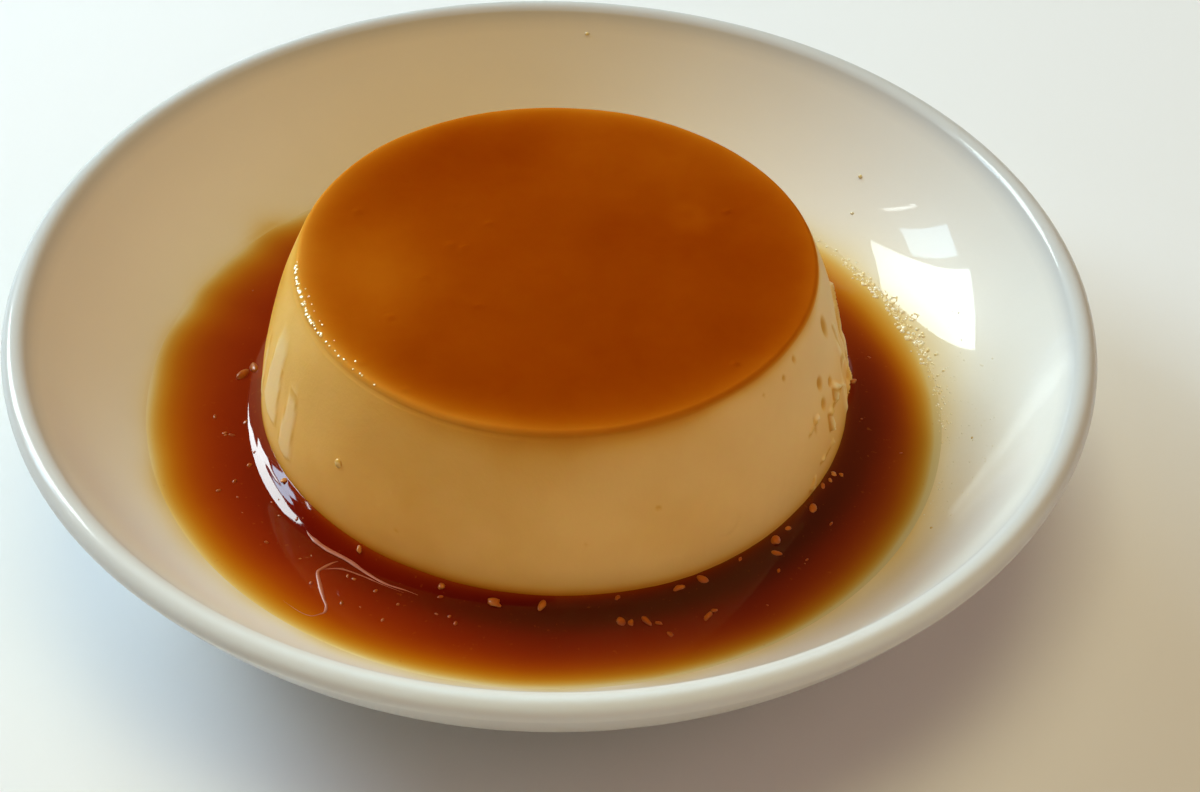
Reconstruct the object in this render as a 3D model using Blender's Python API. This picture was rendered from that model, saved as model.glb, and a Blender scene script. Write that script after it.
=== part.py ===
"""A creme caramel flan in its bowl: turned bowl, custard, caramel top and a pool of caramel sauce.

The bowl is turned about +Z and stands on its foot ring, with the origin at the centre of the ring's
underside. Lengths are in metres.
"""
import math

import bmesh
import bpy
from mathutils import Vector

MM = 0.001
GAP = 0.3 * MM

# Every turned body has this many segments; edges sharper than the angle stay sharp.
SEGMENTS = 72
MERGE_DISTANCE = 0.01 * MM
SHARP_ANGLE = math.radians(40.0)

# The bowl: outer size, the rounded lip, the flat middle of the floor and the foot ring.
BOWL_RADIUS = 82.5 * MM
BOWL_HEIGHT = 33.0 * MM
LIP_RADIUS = 2.0 * MM
FLOOR_HEIGHT = 8.8 * MM
FLAT_RADIUS = 26.0 * MM
WALL_POWER = 4.05
FLOOR_THICKNESS = 4.6 * MM
FOOT_RADIUS = 40.0 * MM
FOOT_WIDTH = 4.5 * MM
FOOT_FLARE = 1.5 * MM
FOOT_CHAMFER = 0.6 * MM
FOOT_RECESS = 3.4 * MM

# Steps along the bowl's outline: few on the gentle floor, closer on the steep wall and round the lip.
GENTLE_END = 58.0 * MM
STEEP_START = 62.5 * MM
FLOOR_POINTS = 5
WALL_POINTS = 6
LIP_QUARTER_POINTS = 4
OUTER_END = 42.0 * MM
OUTER_POINTS = 9
SLOPE_GUESS = math.radians(60.0)
SLOPE_ROUNDS = 40

# The sauce: its level over the bowl's floor.
SAUCE_DEPTH = 6.4 * MM
SAUCE_LEVEL = FLOOR_HEIGHT + SAUCE_DEPTH
SAUCE_POINTS = 9

# The body that cuts the flan's space out of the sauce runs a little past it below and above.
HOLLOW_BELOW = 2.0 * MM
HOLLOW_ABOVE = 3.0 * MM
HOLLOW_POINTS = 5

# The flan: a round, turned-out custard that widens downwards and bulges a little.
FLAN_CENTRE = Vector((0.5 * MM, -0.7 * MM, 0.0))
FLAN_TOP = 40.9 * MM
FLAN_TOP_RADIUS = 38.75 * MM
FLAN_SAUCE_RADIUS = 45.75 * MM
FLAN_BULGE = 1.15 * MM
FLAN_EDGE_RADIUS = 0.9 * MM
CARAMEL_THICKNESS = 1.6 * MM
CUSTARD_FOOT_BEVEL = 1.5 * MM
BASE_POINTS = 4
SIDE_POINTS = 8
EDGE_POINTS = 4

# Slight unevenness of the flan's outline: amplitude, number of waves round it, and their turn.
FLAN_WAVES = ((0.16 * MM, 2, 1.1), (0.14 * MM, 3, 0.4), (0.06 * MM, 5, 2.0))


def material(name, colour, roughness, metallic=0.0):
    """A Principled material of one colour."""
    made = bpy.data.materials.new(name)
    made.use_nodes = True
    shader = made.node_tree.nodes["Principled BSDF"]
    shader.inputs["Base Color"].default_value = (*colour, 1.0)
    shader.inputs["Roughness"].default_value = roughness
    shader.inputs["Metallic"].default_value = metallic
    return made


def turned(name, profile, finish):
    """Spin a profile of (radius, height) points about +Z into one closed body.

    A profile that starts and ends on the axis closes there; any other profile is closed into a ring.
    """
    shape = bmesh.new()
    verts = [shape.verts.new((radius, 0.0, height)) for radius, height in profile]
    edges = [shape.edges.new(pair) for pair in zip(verts, verts[1:])]
    on_axis = profile[0][0] == 0.0 and profile[-1][0] == 0.0
    if not on_axis:
        edges.append(shape.edges.new((verts[-1], verts[0])))
    bmesh.ops.spin(
        shape,
        geom=verts + edges,
        cent=(0.0, 0.0, 0.0),
        axis=(0.0, 0.0, 1.0),
        angle=math.tau,
        steps=SEGMENTS,
        use_merge=True,
    )
    bmesh.ops.remove_doubles(shape, verts=shape.verts, dist=MERGE_DISTANCE)
    bmesh.ops.recalc_face_normals(shape, faces=shape.faces)
    mesh = bpy.data.meshes.new(name)
    shape.to_mesh(mesh)
    shape.free()
    mesh.materials.append(finish)
    mesh.shade_smooth()
    mesh.set_sharp_from_angle(angle=SHARP_ANGLE)
    body = bpy.data.objects.new(name, mesh)
    bpy.context.scene.collection.objects.link(body)
    return body


def spread(first, last, count):
    """Evenly spaced numbers from first to last."""
    return [first + (last - first) * step / (count - 1) for step in range(count)]


# ---- the bowl ----

def lip_slope():
    """The angle at which the inner wall runs into the round lip, so that wall and lip are tangent."""
    slope = SLOPE_GUESS
    for _ in range(SLOPE_ROUNDS):
        radius = BOWL_RADIUS - LIP_RADIUS * (1.0 + math.sin(slope))
        height = BOWL_HEIGHT - LIP_RADIUS * (1.0 - math.cos(slope))
        slope = math.atan(WALL_POWER * (height - FLOOR_HEIGHT) / (radius - FLAT_RADIUS))
    return slope


LIP_SLOPE = lip_slope()
WALL_RADIUS = BOWL_RADIUS - LIP_RADIUS * (1.0 + math.sin(LIP_SLOPE))
WALL_RISE = BOWL_HEIGHT - LIP_RADIUS * (1.0 - math.cos(LIP_SLOPE)) - FLOOR_HEIGHT


def wall_height(radius):
    """Height of the bowl's inner face: flat in the middle, then a power curve up to the lip."""
    share = max(radius - FLAT_RADIUS, 0.0) / (WALL_RADIUS - FLAT_RADIUS)
    return FLOOR_HEIGHT + WALL_RISE * share ** WALL_POWER


def wall_slope(radius):
    """Angle of the inner face from level."""
    share = max(radius - FLAT_RADIUS, 0.0) / (WALL_RADIUS - FLAT_RADIUS)
    return math.atan(WALL_POWER * WALL_RISE / (WALL_RADIUS - FLAT_RADIUS) * share ** (WALL_POWER - 1.0))


def wall_radius(height):
    """Radius at which the inner face reaches a height."""
    share = ((height - FLOOR_HEIGHT) / WALL_RISE) ** (1.0 / WALL_POWER)
    return FLAT_RADIUS + (WALL_RADIUS - FLAT_RADIUS) * share


def outer_point(radius):
    """The point of the outer face straight through the wall from the inner face at a radius."""
    share = (WALL_RADIUS - radius) / (WALL_RADIUS - FLAT_RADIUS)
    thickness = 2.0 * LIP_RADIUS + (FLOOR_THICKNESS - 2.0 * LIP_RADIUS) * share
    slope = wall_slope(radius)
    return radius + thickness * math.sin(slope), wall_height(radius) - thickness * math.cos(slope)


def bowl_profile():
    """From the middle of the floor out over the lip, down the outer face and round the foot ring."""
    inner = [(0.0, FLOOR_HEIGHT)]
    inner += [(radius, wall_height(radius)) for radius in spread(FLAT_RADIUS, GENTLE_END, FLOOR_POINTS)]
    inner += [(radius, wall_height(radius)) for radius in spread(STEEP_START, WALL_RADIUS, WALL_POINTS)]
    crest = math.pi / 2.0
    arc = spread(crest + LIP_SLOPE, crest, LIP_QUARTER_POINTS)[1:]
    arc += spread(crest, 0.0, LIP_QUARTER_POINTS)[1:]
    arc += spread(0.0, LIP_SLOPE - crest, LIP_QUARTER_POINTS - 1)[1:]
    lip = []
    for angle in arc:
        radius = BOWL_RADIUS - LIP_RADIUS + LIP_RADIUS * math.cos(angle)
        height = BOWL_HEIGHT - LIP_RADIUS + LIP_RADIUS * math.sin(angle)
        lip.append((radius, height))
    outer = [outer_point(radius) for radius in spread(WALL_RADIUS, OUTER_END, OUTER_POINTS)[1:]]
    foot_inner = FOOT_RADIUS - FOOT_WIDTH
    foot = [
        (FOOT_RADIUS + FOOT_FLARE, outer[-1][1]),
        (FOOT_RADIUS, FOOT_CHAMFER),
        (FOOT_RADIUS - FOOT_CHAMFER, 0.0),
        (foot_inner + FOOT_CHAMFER, 0.0),
        (foot_inner, FOOT_CHAMFER),
        (foot_inner - FOOT_FLARE / 2.0, FOOT_RECESS),
        (0.0, FOOT_RECESS),
    ]
    return inner + lip + outer + foot


# ---- the flan and its sauce ----

def flan_radius(height):
    """Radius of the flan's side: straight from top to sauce level, with a bulge halfway."""
    share = (FLAN_TOP - height) / (FLAN_TOP - SAUCE_LEVEL)
    straight = FLAN_TOP_RADIUS + (FLAN_SAUCE_RADIUS - FLAN_TOP_RADIUS) * share
    return straight + 4.0 * FLAN_BULGE * share * (1.0 - share)


def place_flan_piece(body):
    """Make a turned piece as uneven as the flan and put it over the flan's centre."""
    for vertex in body.data.vertices:
        angle = math.atan2(vertex.co.y, vertex.co.x)
        radius = math.hypot(vertex.co.x, vertex.co.y)
        swell = sum(size * math.sin(waves * angle + turn) for size, waves, turn in FLAN_WAVES)
        scale = 1.0 + swell * radius / FLAN_SAUCE_RADIUS ** 2
        vertex.co.x *= scale
        vertex.co.y *= scale
    body.location = FLAN_CENTRE


def custard_profile():
    """The custard stands on the bowl's curved floor and ends under the caramel top."""
    top = FLAN_TOP - CARAMEL_THICKNESS - GAP
    clearance = FLAN_CENTRE.length
    base_radius = flan_radius(FLOOR_HEIGHT)
    base = [(0.0, FLOOR_HEIGHT + GAP)]
    for radius in spread(FLAT_RADIUS, base_radius, BASE_POINTS):
        base.append((radius, wall_height(radius + clearance) + GAP))
    side_start = base[-1][1] + CUSTARD_FOOT_BEVEL
    side = [(flan_radius(height), height) for height in spread(side_start, top, SIDE_POINTS)]
    return base + side + [(0.0, top)]


def caramel_top_profile():
    """The caramel-soaked top layer, with a softly rounded upper edge."""
    low = FLAN_TOP - CARAMEL_THICKNESS
    edge_radius = flan_radius(FLAN_TOP - FLAN_EDGE_RADIUS) - FLAN_EDGE_RADIUS
    edge = []
    for angle in spread(0.0, math.pi / 2.0, EDGE_POINTS):
        radius = edge_radius + FLAN_EDGE_RADIUS * math.cos(angle)
        height = FLAN_TOP - FLAN_EDGE_RADIUS + FLAN_EDGE_RADIUS * math.sin(angle)
        edge.append((radius, height))
    return [(0.0, low), (flan_radius(low), low)] + edge + [(0.0, FLAN_TOP)]


def sauce_profile():
    """The pool over the whole floor: its underside follows the bowl up to the waterline."""
    edge_radius = wall_radius(SAUCE_LEVEL - GAP)
    under = [(0.0, FLOOR_HEIGHT + GAP)]
    for radius in spread(FLAT_RADIUS, edge_radius, SAUCE_POINTS):
        under.append((radius, wall_height(radius) + GAP))
    return under + [(0.0, SAUCE_LEVEL)]


def flan_hollow_profile():
    """The flan's space in the sauce, a gap wider than the flan all round."""
    low = FLOOR_HEIGHT - HOLLOW_BELOW
    high = SAUCE_LEVEL + HOLLOW_ABOVE
    side = [(flan_radius(height) + GAP, height) for height in spread(low, high, HOLLOW_POINTS)]
    return [(0.0, low)] + side + [(0.0, high)]


def build():
    for old in list(bpy.data.objects):
        bpy.data.objects.remove(old, do_unlink=True)

    glaze = material("glazed_white", (0.80, 0.77, 0.70), 0.12)
    custard_finish = material("custard", (0.72, 0.47, 0.18), 0.40)
    caramel_finish = material("caramel_stain", (0.34, 0.075, 0.004), 0.30)
    sauce_finish = material("caramel_sauce", (0.13, 0.018, 0.002), 0.08)

    turned("bowl", bowl_profile(), glaze)
    place_flan_piece(turned("custard", custard_profile(), custard_finish))
    place_flan_piece(turned("caramel_top", caramel_top_profile(), caramel_finish))

    hollow = turned("flan_hollow", flan_hollow_profile(), custard_finish)
    place_flan_piece(hollow)
    hollow.hide_render = True
    hollow.display_type = "WIRE"
    sauce = turned("caramel_sauce", sauce_profile(), sauce_finish)
    cut = sauce.modifiers.new("cut_round_the_flan", "BOOLEAN")
    cut.operation = "DIFFERENCE"
    cut.solver = "EXACT"
    cut.object = hollow


build()
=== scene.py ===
# %% [markdown]
# # A creme caramel flan in its bowl
#
# The real thing is a custard, baked on a layer of caramel and turned out into a round bowl. The caramel
# has soaked into what is now the top, and the rest of it has run down into a pool. The frame that is
# loaded here holds the plain solids at their real size. This lesson gives each of them its fine surface
# and its finish, then adds what is too small for a solid: crumbs, flecks, froth and beads of syrup.

import math

import bpy
import numpy as np
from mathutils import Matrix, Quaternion, Vector


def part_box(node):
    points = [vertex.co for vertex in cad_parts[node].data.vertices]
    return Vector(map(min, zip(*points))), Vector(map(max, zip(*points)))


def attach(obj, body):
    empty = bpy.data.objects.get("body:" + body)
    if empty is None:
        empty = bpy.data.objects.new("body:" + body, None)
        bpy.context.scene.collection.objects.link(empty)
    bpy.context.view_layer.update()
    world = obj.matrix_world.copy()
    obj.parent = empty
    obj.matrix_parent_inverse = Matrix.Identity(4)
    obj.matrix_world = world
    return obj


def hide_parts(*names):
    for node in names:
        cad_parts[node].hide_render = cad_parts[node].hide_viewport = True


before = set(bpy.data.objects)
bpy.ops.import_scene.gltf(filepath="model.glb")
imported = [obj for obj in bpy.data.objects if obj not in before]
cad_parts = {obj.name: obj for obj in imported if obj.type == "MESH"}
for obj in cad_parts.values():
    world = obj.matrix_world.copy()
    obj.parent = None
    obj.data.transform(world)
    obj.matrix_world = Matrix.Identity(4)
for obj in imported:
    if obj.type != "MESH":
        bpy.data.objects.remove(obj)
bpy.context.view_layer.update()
MM = 0.001
print("frame:", sorted(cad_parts))

# %% [markdown]
# ## Sizes
#
# Everything sits where the solids are, so the sizes are read from their boxes. Only the curves between
# those sizes are stated again: how the wall rises, how thick the lip is, how far the custard bulges.

# %% Sizes read from the solids
bowl_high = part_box("bowl")[1]
sauce_low, sauce_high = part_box("caramel_sauce")
top_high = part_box("caramel_top")[1]

GAP = 0.3 * MM
BOWL_RADIUS = bowl_high.x
BOWL_HEIGHT = bowl_high.z
SAUCE_LEVEL = sauce_high.z
FLOOR_HEIGHT = sauce_low.z - GAP
FLAN_TOP = top_high.z

LIP_RADIUS = 2.0 * MM
FLAT_RADIUS = 26.0 * MM
WALL_POWER = 4.05
FLOOR_THICKNESS = 4.6 * MM
FOOT_RADIUS = 40.0 * MM
FOOT_WIDTH = 4.5 * MM
FOOT_FLARE = 1.5 * MM
FOOT_RECESS = 3.4 * MM

FLAN_X = 0.5 * MM
FLAN_Y = -0.7 * MM
FLAN_AT = (FLAN_X, FLAN_Y, 0.0)
FLAN_TOP_RADIUS = 38.75 * MM
FLAN_SAUCE_RADIUS = 45.75 * MM
FLAN_BULGE = 1.15 * MM
FLAN_EDGE_RADIUS = 0.9 * MM
FLAN_WAVES = ((0.16 * MM, 2, 1.1), (0.14 * MM, 3, 0.4), (0.06 * MM, 5, 2.0))
print(f"bowl {2 * BOWL_RADIUS / MM:.1f} x {BOWL_HEIGHT / MM:.1f} mm, sauce at {SAUCE_LEVEL / MM:.1f} mm")

# %% [markdown]
# ## A mesh from whole arrays
#
# Every piece below is a surface: a function of two numbers, worked out on a grid with numpy. One helper
# puts the points and faces into a mesh in one go with foreach_set, which is far quicker than a Python
# loop. It can also store one number per point, an attribute, which the finish reads afterwards. That is
# how a piece says where it is stained, or how deep it is.

# %% Meshes
def make_piece(name, points, faces, finish, **attributes):
    """Make one object: points is (n, 3), faces a list of (m, 3) or (m, 4) index arrays."""
    mesh = bpy.data.meshes.new(name)
    corners = np.concatenate([block.ravel() for block in faces])
    sizes = np.concatenate([np.full(len(block), block.shape[1]) for block in faces])
    starts = np.concatenate([[0], np.cumsum(sizes)[:-1]])
    mesh.vertices.add(len(points))
    mesh.vertices.foreach_set("co", points.astype(np.float32).ravel())
    mesh.loops.add(len(corners))
    mesh.loops.foreach_set("vertex_index", corners.astype(np.int32))
    mesh.polygons.add(len(sizes))
    mesh.polygons.foreach_set("loop_start", starts.astype(np.int32))
    for key, values in attributes.items():
        layer = mesh.attributes.new(key, "FLOAT", "POINT")
        layer.data.foreach_set("value", values.astype(np.float32).ravel())
    mesh.update(calc_edges=True)
    mesh.validate()
    mesh.shade_smooth()
    mesh.materials.append(finish)
    piece = bpy.data.objects.new(name, mesh)
    bpy.context.scene.collection.objects.link(piece)
    print(f"{name}: {len(points)} points, {len(sizes)} faces")
    return piece


def polar(radius, angle, height=0.0):
    """Points at these radii and angles round +Z, and at these heights."""
    parts = np.broadcast_arrays(radius * np.cos(angle), radius * np.sin(angle), height)
    return np.stack(parts, axis=-1)


def unwound(points):
    """Radius and angle of points round +Z: polar() the other way."""
    return np.hypot(points[..., 0], points[..., 1]), np.arctan2(points[..., 1], points[..., 0])


def ring_faces(rows, columns, first=0):
    """Quads between neighbouring rows of a closed ring grid, turned to face outwards when the rows
    run anticlockwise about +Z and step from the axis outwards over the top."""
    row, column = np.meshgrid(np.arange(rows - 1), np.arange(columns), indexing="ij")
    here = first + row * columns + column
    beside = first + row * columns + (column + 1) % columns
    return np.stack([here, here + columns, beside + columns, beside], axis=-1).reshape(-1, 4)


def fan_faces(pole, ring, flip=False):
    """Triangles from one pole point to a closed ring of points."""
    ahead = np.roll(ring, -1)
    pair = (ahead, ring) if flip else (ring, ahead)
    return np.stack([np.full(len(ring), pole), *pair], axis=-1)


def closed_faces(rows, columns):
    """Faces of a ring grid that is closed by the two pole points after it."""
    count = rows * columns
    ring = np.arange(columns)
    ends = [fan_faces(count, ring), fan_faces(count + 1, ring + count - columns, flip=True)]
    return [ring_faces(rows, columns), np.concatenate(ends)]


def serve(piece, slot, *nodes):
    """Tie a piece to the frame's root body and hide the solids that it stands for. slot is not used."""
    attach(piece, "root")
    if nodes:
        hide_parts(*nodes)

# %% [markdown]
# ### Many small blobs
#
# Crumbs, bubbles and drops are all balls, stretched and sometimes dented. A particle system would
# scatter copies of one ball, but the export drops copies. So one helper works out every ball's points
# at once and joins them into a single mesh. Each ball has only a few dozen faces.

# %% Blobs
DENTS = 5
DENT_PITCH = 1.6


def unit_ball(rows, columns):
    """A ball of radius 1 as points and faces: rows of latitude between two poles."""
    rise = np.linspace(math.pi / 2.0, -math.pi / 2.0, rows + 2)[1:-1, None]
    turn = np.arange(columns) * (math.tau / columns)
    points = polar(np.cos(rise), turn, np.sin(rise)).reshape(-1, 3)
    return np.concatenate([points, [(0.0, 0.0, 1.0), (0.0, 0.0, -1.0)]]), closed_faces(rows, columns)


def blobs(centres, axes, rows, columns, rough=0.0, seed=0):
    """Many closed blobs in one mesh. Each is a ball stretched along its own three axes, given as rows
    of a 3 x 3 array, and dented by a share of its size where rough is above 0."""
    ball, ball_faces = unit_ball(rows, columns)
    count = len(centres)
    dent = np.ones((count, len(ball)))
    if rough:
        draw = np.random.default_rng(seed)
        for _ in range(DENTS):
            direction = draw.normal(size=(count, 3)) * DENT_PITCH
            dent += rough * np.sin(direction @ ball.T + draw.uniform(0.0, math.tau, (count, 1)))
    points = centres[:, None, :] + np.einsum("bp,pk,bkj->bpj", dent, ball, axes)
    shift = (np.arange(count) * len(ball))[:, None, None]
    faces = [(block[None] + shift).reshape(-1, block.shape[1]) for block in ball_faces]
    return points.reshape(-1, 3), faces


print(f"a blob of 5 x 10 has {len(unit_ball(5, 10)[0])} points")

# %% [markdown]
# ## Gentle unevenness
#
# Food is never quite smooth. A sum of plane waves with random directions gives a soft, endless
# unevenness that needs no grid of its own and is the same on each run, because its seed is fixed.
# Nor is it the same all round: a bell curve about a direction says where something is stronger.

# %% Waves and bells
WAVES = 14
WAVE_SPREAD = (0.7, 1.6)
WAVE_SIZE = 0.6


def soft_noise(points, size, wavelength, seed):
    """Sum of sines along random directions, with wavelengths from 0.7 to 1.6 times the stated one,
    scaled so that most values lie between -size and size."""
    draw = np.random.default_rng(seed)
    direction = draw.normal(size=(WAVES, 3))
    direction /= np.linalg.norm(direction, axis=1, keepdims=True)
    length = wavelength * draw.uniform(*WAVE_SPREAD, WAVES)
    phase = draw.uniform(0.0, math.tau, WAVES)
    total = np.zeros(points.shape[:-1])
    for axis, span, start in zip(direction, length, phase):
        total += np.sin(points @ axis * (math.tau / span) + start)
    return size * total * math.sqrt(2.0 / WAVES) * WAVE_SIZE


def bell(value, width):
    """1 at zero, falling to 0.37 at the width, as a bell curve."""
    return np.exp(-((value / width) ** 2))


def turned_by(angle, degrees):
    """The angle from a direction stated in degrees, between -pi and pi."""
    return np.angle(np.exp(1j * (angle - math.radians(degrees))))


def bells(angle, *rows):
    """Sum of bell curves about directions. Each row has an amount, a direction and a width, the last
    two in degrees."""
    return sum(size * bell(turned_by(angle, towards), math.radians(width)) for size, towards, width in rows)


def smooth_step(value, low, high):
    """0 below low, 1 above high, and an S-curve between them."""
    share = np.clip((value - low) / (high - low), 0.0, 1.0)
    return share * share * (3.0 - 2.0 * share)


print("noise over a metre:", np.round(soft_noise(polar(np.linspace(0.0, 1.0, 5), 0.0), 1.0, 1.0, 1), 2))

# %% [markdown]
# ## Shader maths as Python
#
# A finish is a graph of nodes. Written node by node it hides its own meaning, so a small class wraps a
# socket: adding, multiplying or raising to its power adds the Math node. All other nodes come from one
# method, which sets what a node is told to be first, and then its inputs.

# %% Wires and finishes
def maths(operation, swapped=False):
    """An operator of Wire as one Math node. The reflected forms have their inputs swapped."""
    def apply(self, other):
        inputs = (other, self) if swapped else (self, other)
        return self.finish.node("ShaderNodeMath", {"operation": operation}, inputs)

    return apply


class Wire:
    """One value in a finish. Arithmetic on it adds Math nodes to that finish."""

    def __init__(self, finish, socket):
        self.finish = finish
        self.socket = socket

    __add__ = maths("ADD")
    __radd__ = maths("ADD", swapped=True)
    __mul__ = maths("MULTIPLY")
    __rmul__ = maths("MULTIPLY", swapped=True)
    __rpow__ = maths("POWER", swapped=True)

    def step(self, low, high):
        """0 below low, 1 above high, and a smooth ramp between them."""
        settings = {"interpolation_type": "SMOOTHSTEP"}
        return self.finish.node("ShaderNodeMapRange", settings, (self, low, high, 0.0, 1.0))


class Finish:
    """A material under construction, with its Principled shader."""

    def __init__(self, name, **constants):
        self.material = bpy.data.materials.new(name)
        self.material.use_nodes = True
        self.tree = self.material.node_tree
        self.shader = self.tree.nodes["Principled BSDF"]
        for key, value in constants.items():
            self.shader.inputs[key.replace("_", " ").title().replace("Ior", "IOR")].default_value = value
        self.where = self.node("ShaderNodeTexCoord", out="Object")

    def node(self, kind, settings=None, inputs=(), out=0):
        """Add a node, set its settings, then its inputs by place or name, from numbers or wires."""
        made = self.tree.nodes.new(kind)
        for key, value in (settings or {}).items():
            setattr(made, key, value)
        pairs = inputs.items() if isinstance(inputs, dict) else enumerate(inputs)
        for key, value in pairs:
            if isinstance(value, Wire):
                self.tree.links.new(value.socket, made.inputs[key])
            else:
                made.inputs[key].default_value = value
        return Wire(self, made.outputs[out])

    def attribute(self, name):
        """The number that the piece stores at each of its points."""
        return self.node("ShaderNodeAttribute", {"attribute_name": name}, out="Fac")

    def noise(self, scale, detail=2.0, roughness=0.5, distortion=0.0):
        """Cloudy noise in object space: scale is how many blobs fit in a metre."""
        inputs = {"Vector": self.where, "Scale": scale, "Detail": detail}
        inputs.update({"Roughness": roughness, "Distortion": distortion})
        return self.node("ShaderNodeTexNoise", None, inputs, out="Fac")

    def mix(self, share, first, second, **settings):
        """Blend from the first colour to the second."""
        settings["data_type"] = "RGBA"
        return self.node("ShaderNodeMix", settings, {0: share, 6: first, 7: second}, out=2)

    def tinted(self, first, second):
        """One colour multiplied by the other, as a filter does."""
        return self.mix(1.0, first, second, blend_type="MULTIPLY")

    def through(self, depth, takes):
        """What is left of white light behind a depth: e to the minus depth times what each band takes."""
        return self.node("ShaderNodeCombineColor", None, [math.exp(-take) ** depth for take in takes])

    def bump(self, height, depth):
        """A normal from a height between 0 and 1 that stands for depth metres."""
        return self.node("ShaderNodeBump", None, {"Strength": 1.0, "Distance": depth, "Height": height})

    def paint(self, **inputs):
        """Link wires to the shader's sockets and return the finished material."""
        for key, value in inputs.items():
            self.tree.links.new(value.socket, self.shader.inputs[key.replace("_", " ").title()])
        return self.material


def colour(red, green, blue):
    """A shader colour from display values of 0 to 255."""
    display = np.array([red, green, blue]) / 255.0
    linear = np.where(display <= 0.04045, display / 12.92, ((display + 0.055) / 1.055) ** 2.4)
    return (*linear.tolist(), 1.0)


print("mid grey is", [round(value, 3) for value in colour(188, 188, 188)])

# %% [markdown]
# ## The camera
#
# The camera comes first, so that each new piece can be looked at from the right place. It stands a
# little over a third of a metre away, looks down at about 40 degrees and is rolled a touch.

# %% Camera
LENS = 69.0
EYE_DISTANCE = 351.9 * MM
EYE_ELEVATION = math.radians(39.85)
RIM_CENTRE = Vector((0.0, 0.0, BOWL_HEIGHT - LIP_RADIUS))
AIM = Vector((7.1 * MM, -21.4 * MM, RIM_CENTRE.z))
ROLL = math.radians(2.005)

eye = RIM_CENTRE + EYE_DISTANCE * Vector((0.0, -math.cos(EYE_ELEVATION), math.sin(EYE_ELEVATION)))
camera_data = bpy.data.cameras.new("camera")
camera_data.lens = LENS
camera_data.clip_start = 0.01
camera = bpy.data.objects.new("camera", camera_data)
bpy.context.scene.collection.objects.link(camera)
camera.location = eye
camera.rotation_mode = "QUATERNION"
camera.rotation_quaternion = (AIM - eye).to_track_quat("-Z", "Y") @ Quaternion((0.0, 0.0, 1.0), ROLL)
bpy.context.scene.camera = camera
print("camera at", [round(value / MM) for value in eye], "mm")

# %% [markdown]
# ## The bowl
#
# A bowl is thrown or pressed round, so it is one outline carried round the axis. The inner face is flat
# in the middle and climbs ever more steeply to the lip, which is a half round as thick as the wall. The
# outer face keeps the wall's thickness and ends in a foot ring.

# %% Bowl: the outline
FLOOR_ROWS = 12
WALL_ROWS = 64
LIP_ROWS = 25
OUTER_ROWS = 46
OUTER_END = 42.0 * MM
FILLET_SHARE = 0.6
TREAD_ROUND = 0.6 * MM
TREAD_CUT = 0.2 * MM
RECESS_CUT = 0.4 * MM
RECESS_ROUND = 1.4 * MM
RECESS_POLE = 2.0 * MM


def lip_slope():
    """The angle where the rising wall runs into the round lip, so that the two are tangent. It starts
    from a guess, and each round brings it closer."""
    slope = math.radians(60.0)
    for _ in range(40):
        radius = BOWL_RADIUS - LIP_RADIUS * (1.0 + math.sin(slope))
        height = BOWL_HEIGHT - LIP_RADIUS * (1.0 - math.cos(slope))
        slope = math.atan(WALL_POWER * (height - FLOOR_HEIGHT) / (radius - FLAT_RADIUS))
    return slope


LIP_SLOPE = lip_slope()
WALL_RADIUS = BOWL_RADIUS - LIP_RADIUS * (1.0 + math.sin(LIP_SLOPE))
WALL_RUN = WALL_RADIUS - FLAT_RADIUS
WALL_RISE = BOWL_HEIGHT - LIP_RADIUS * (1.0 - math.cos(LIP_SLOPE)) - FLOOR_HEIGHT


def wall_height(radius):
    """Floor height plus the rise times the share of the way to the lip, to the fourth power or so."""
    return FLOOR_HEIGHT + WALL_RISE * (np.maximum(radius - FLAT_RADIUS, 0.0) / WALL_RUN) ** WALL_POWER


def wall_radius(height):
    """The radius where the inner face reaches a height."""
    return FLAT_RADIUS + WALL_RUN * (np.maximum(height - FLOOR_HEIGHT, 0.0) / WALL_RISE) ** (1.0 / WALL_POWER)


def bowl_outline():
    """Radius and height along the bowl's skin, from the floor's middle over the lip to the foot."""
    floor_part = np.linspace(0.0, FLAT_RADIUS, FLOOR_ROWS)[1:]
    inner = np.concatenate([floor_part, np.linspace(FLAT_RADIUS, WALL_RADIUS, WALL_ROWS)[1:]])
    inner_points = np.stack([inner, wall_height(inner)], axis=-1)

    turn = np.linspace(math.pi / 2.0 + LIP_SLOPE, LIP_SLOPE - math.pi / 2.0, LIP_ROWS)[1:-1]
    lip_points = np.stack([np.cos(turn), np.sin(turn)], axis=-1) * LIP_RADIUS
    lip_points += (BOWL_RADIUS - LIP_RADIUS, BOWL_HEIGHT - LIP_RADIUS)

    radius = np.linspace(WALL_RADIUS, OUTER_END, OUTER_ROWS)
    share = (radius - FLAT_RADIUS) / WALL_RUN
    thickness = 2.0 * LIP_RADIUS + (FLOOR_THICKNESS - 2.0 * LIP_RADIUS) * (1.0 - share)
    slope = np.arctan(WALL_POWER * WALL_RISE / WALL_RUN * share ** (WALL_POWER - 1.0))
    outer_radius = radius + thickness * np.sin(slope)
    outer_points = np.stack([outer_radius, wall_height(radius) - thickness * np.cos(slope)], axis=-1)
    return np.concatenate([inner_points, lip_points, outer_points, foot_outline(outer_points[-1, 1])])


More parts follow.
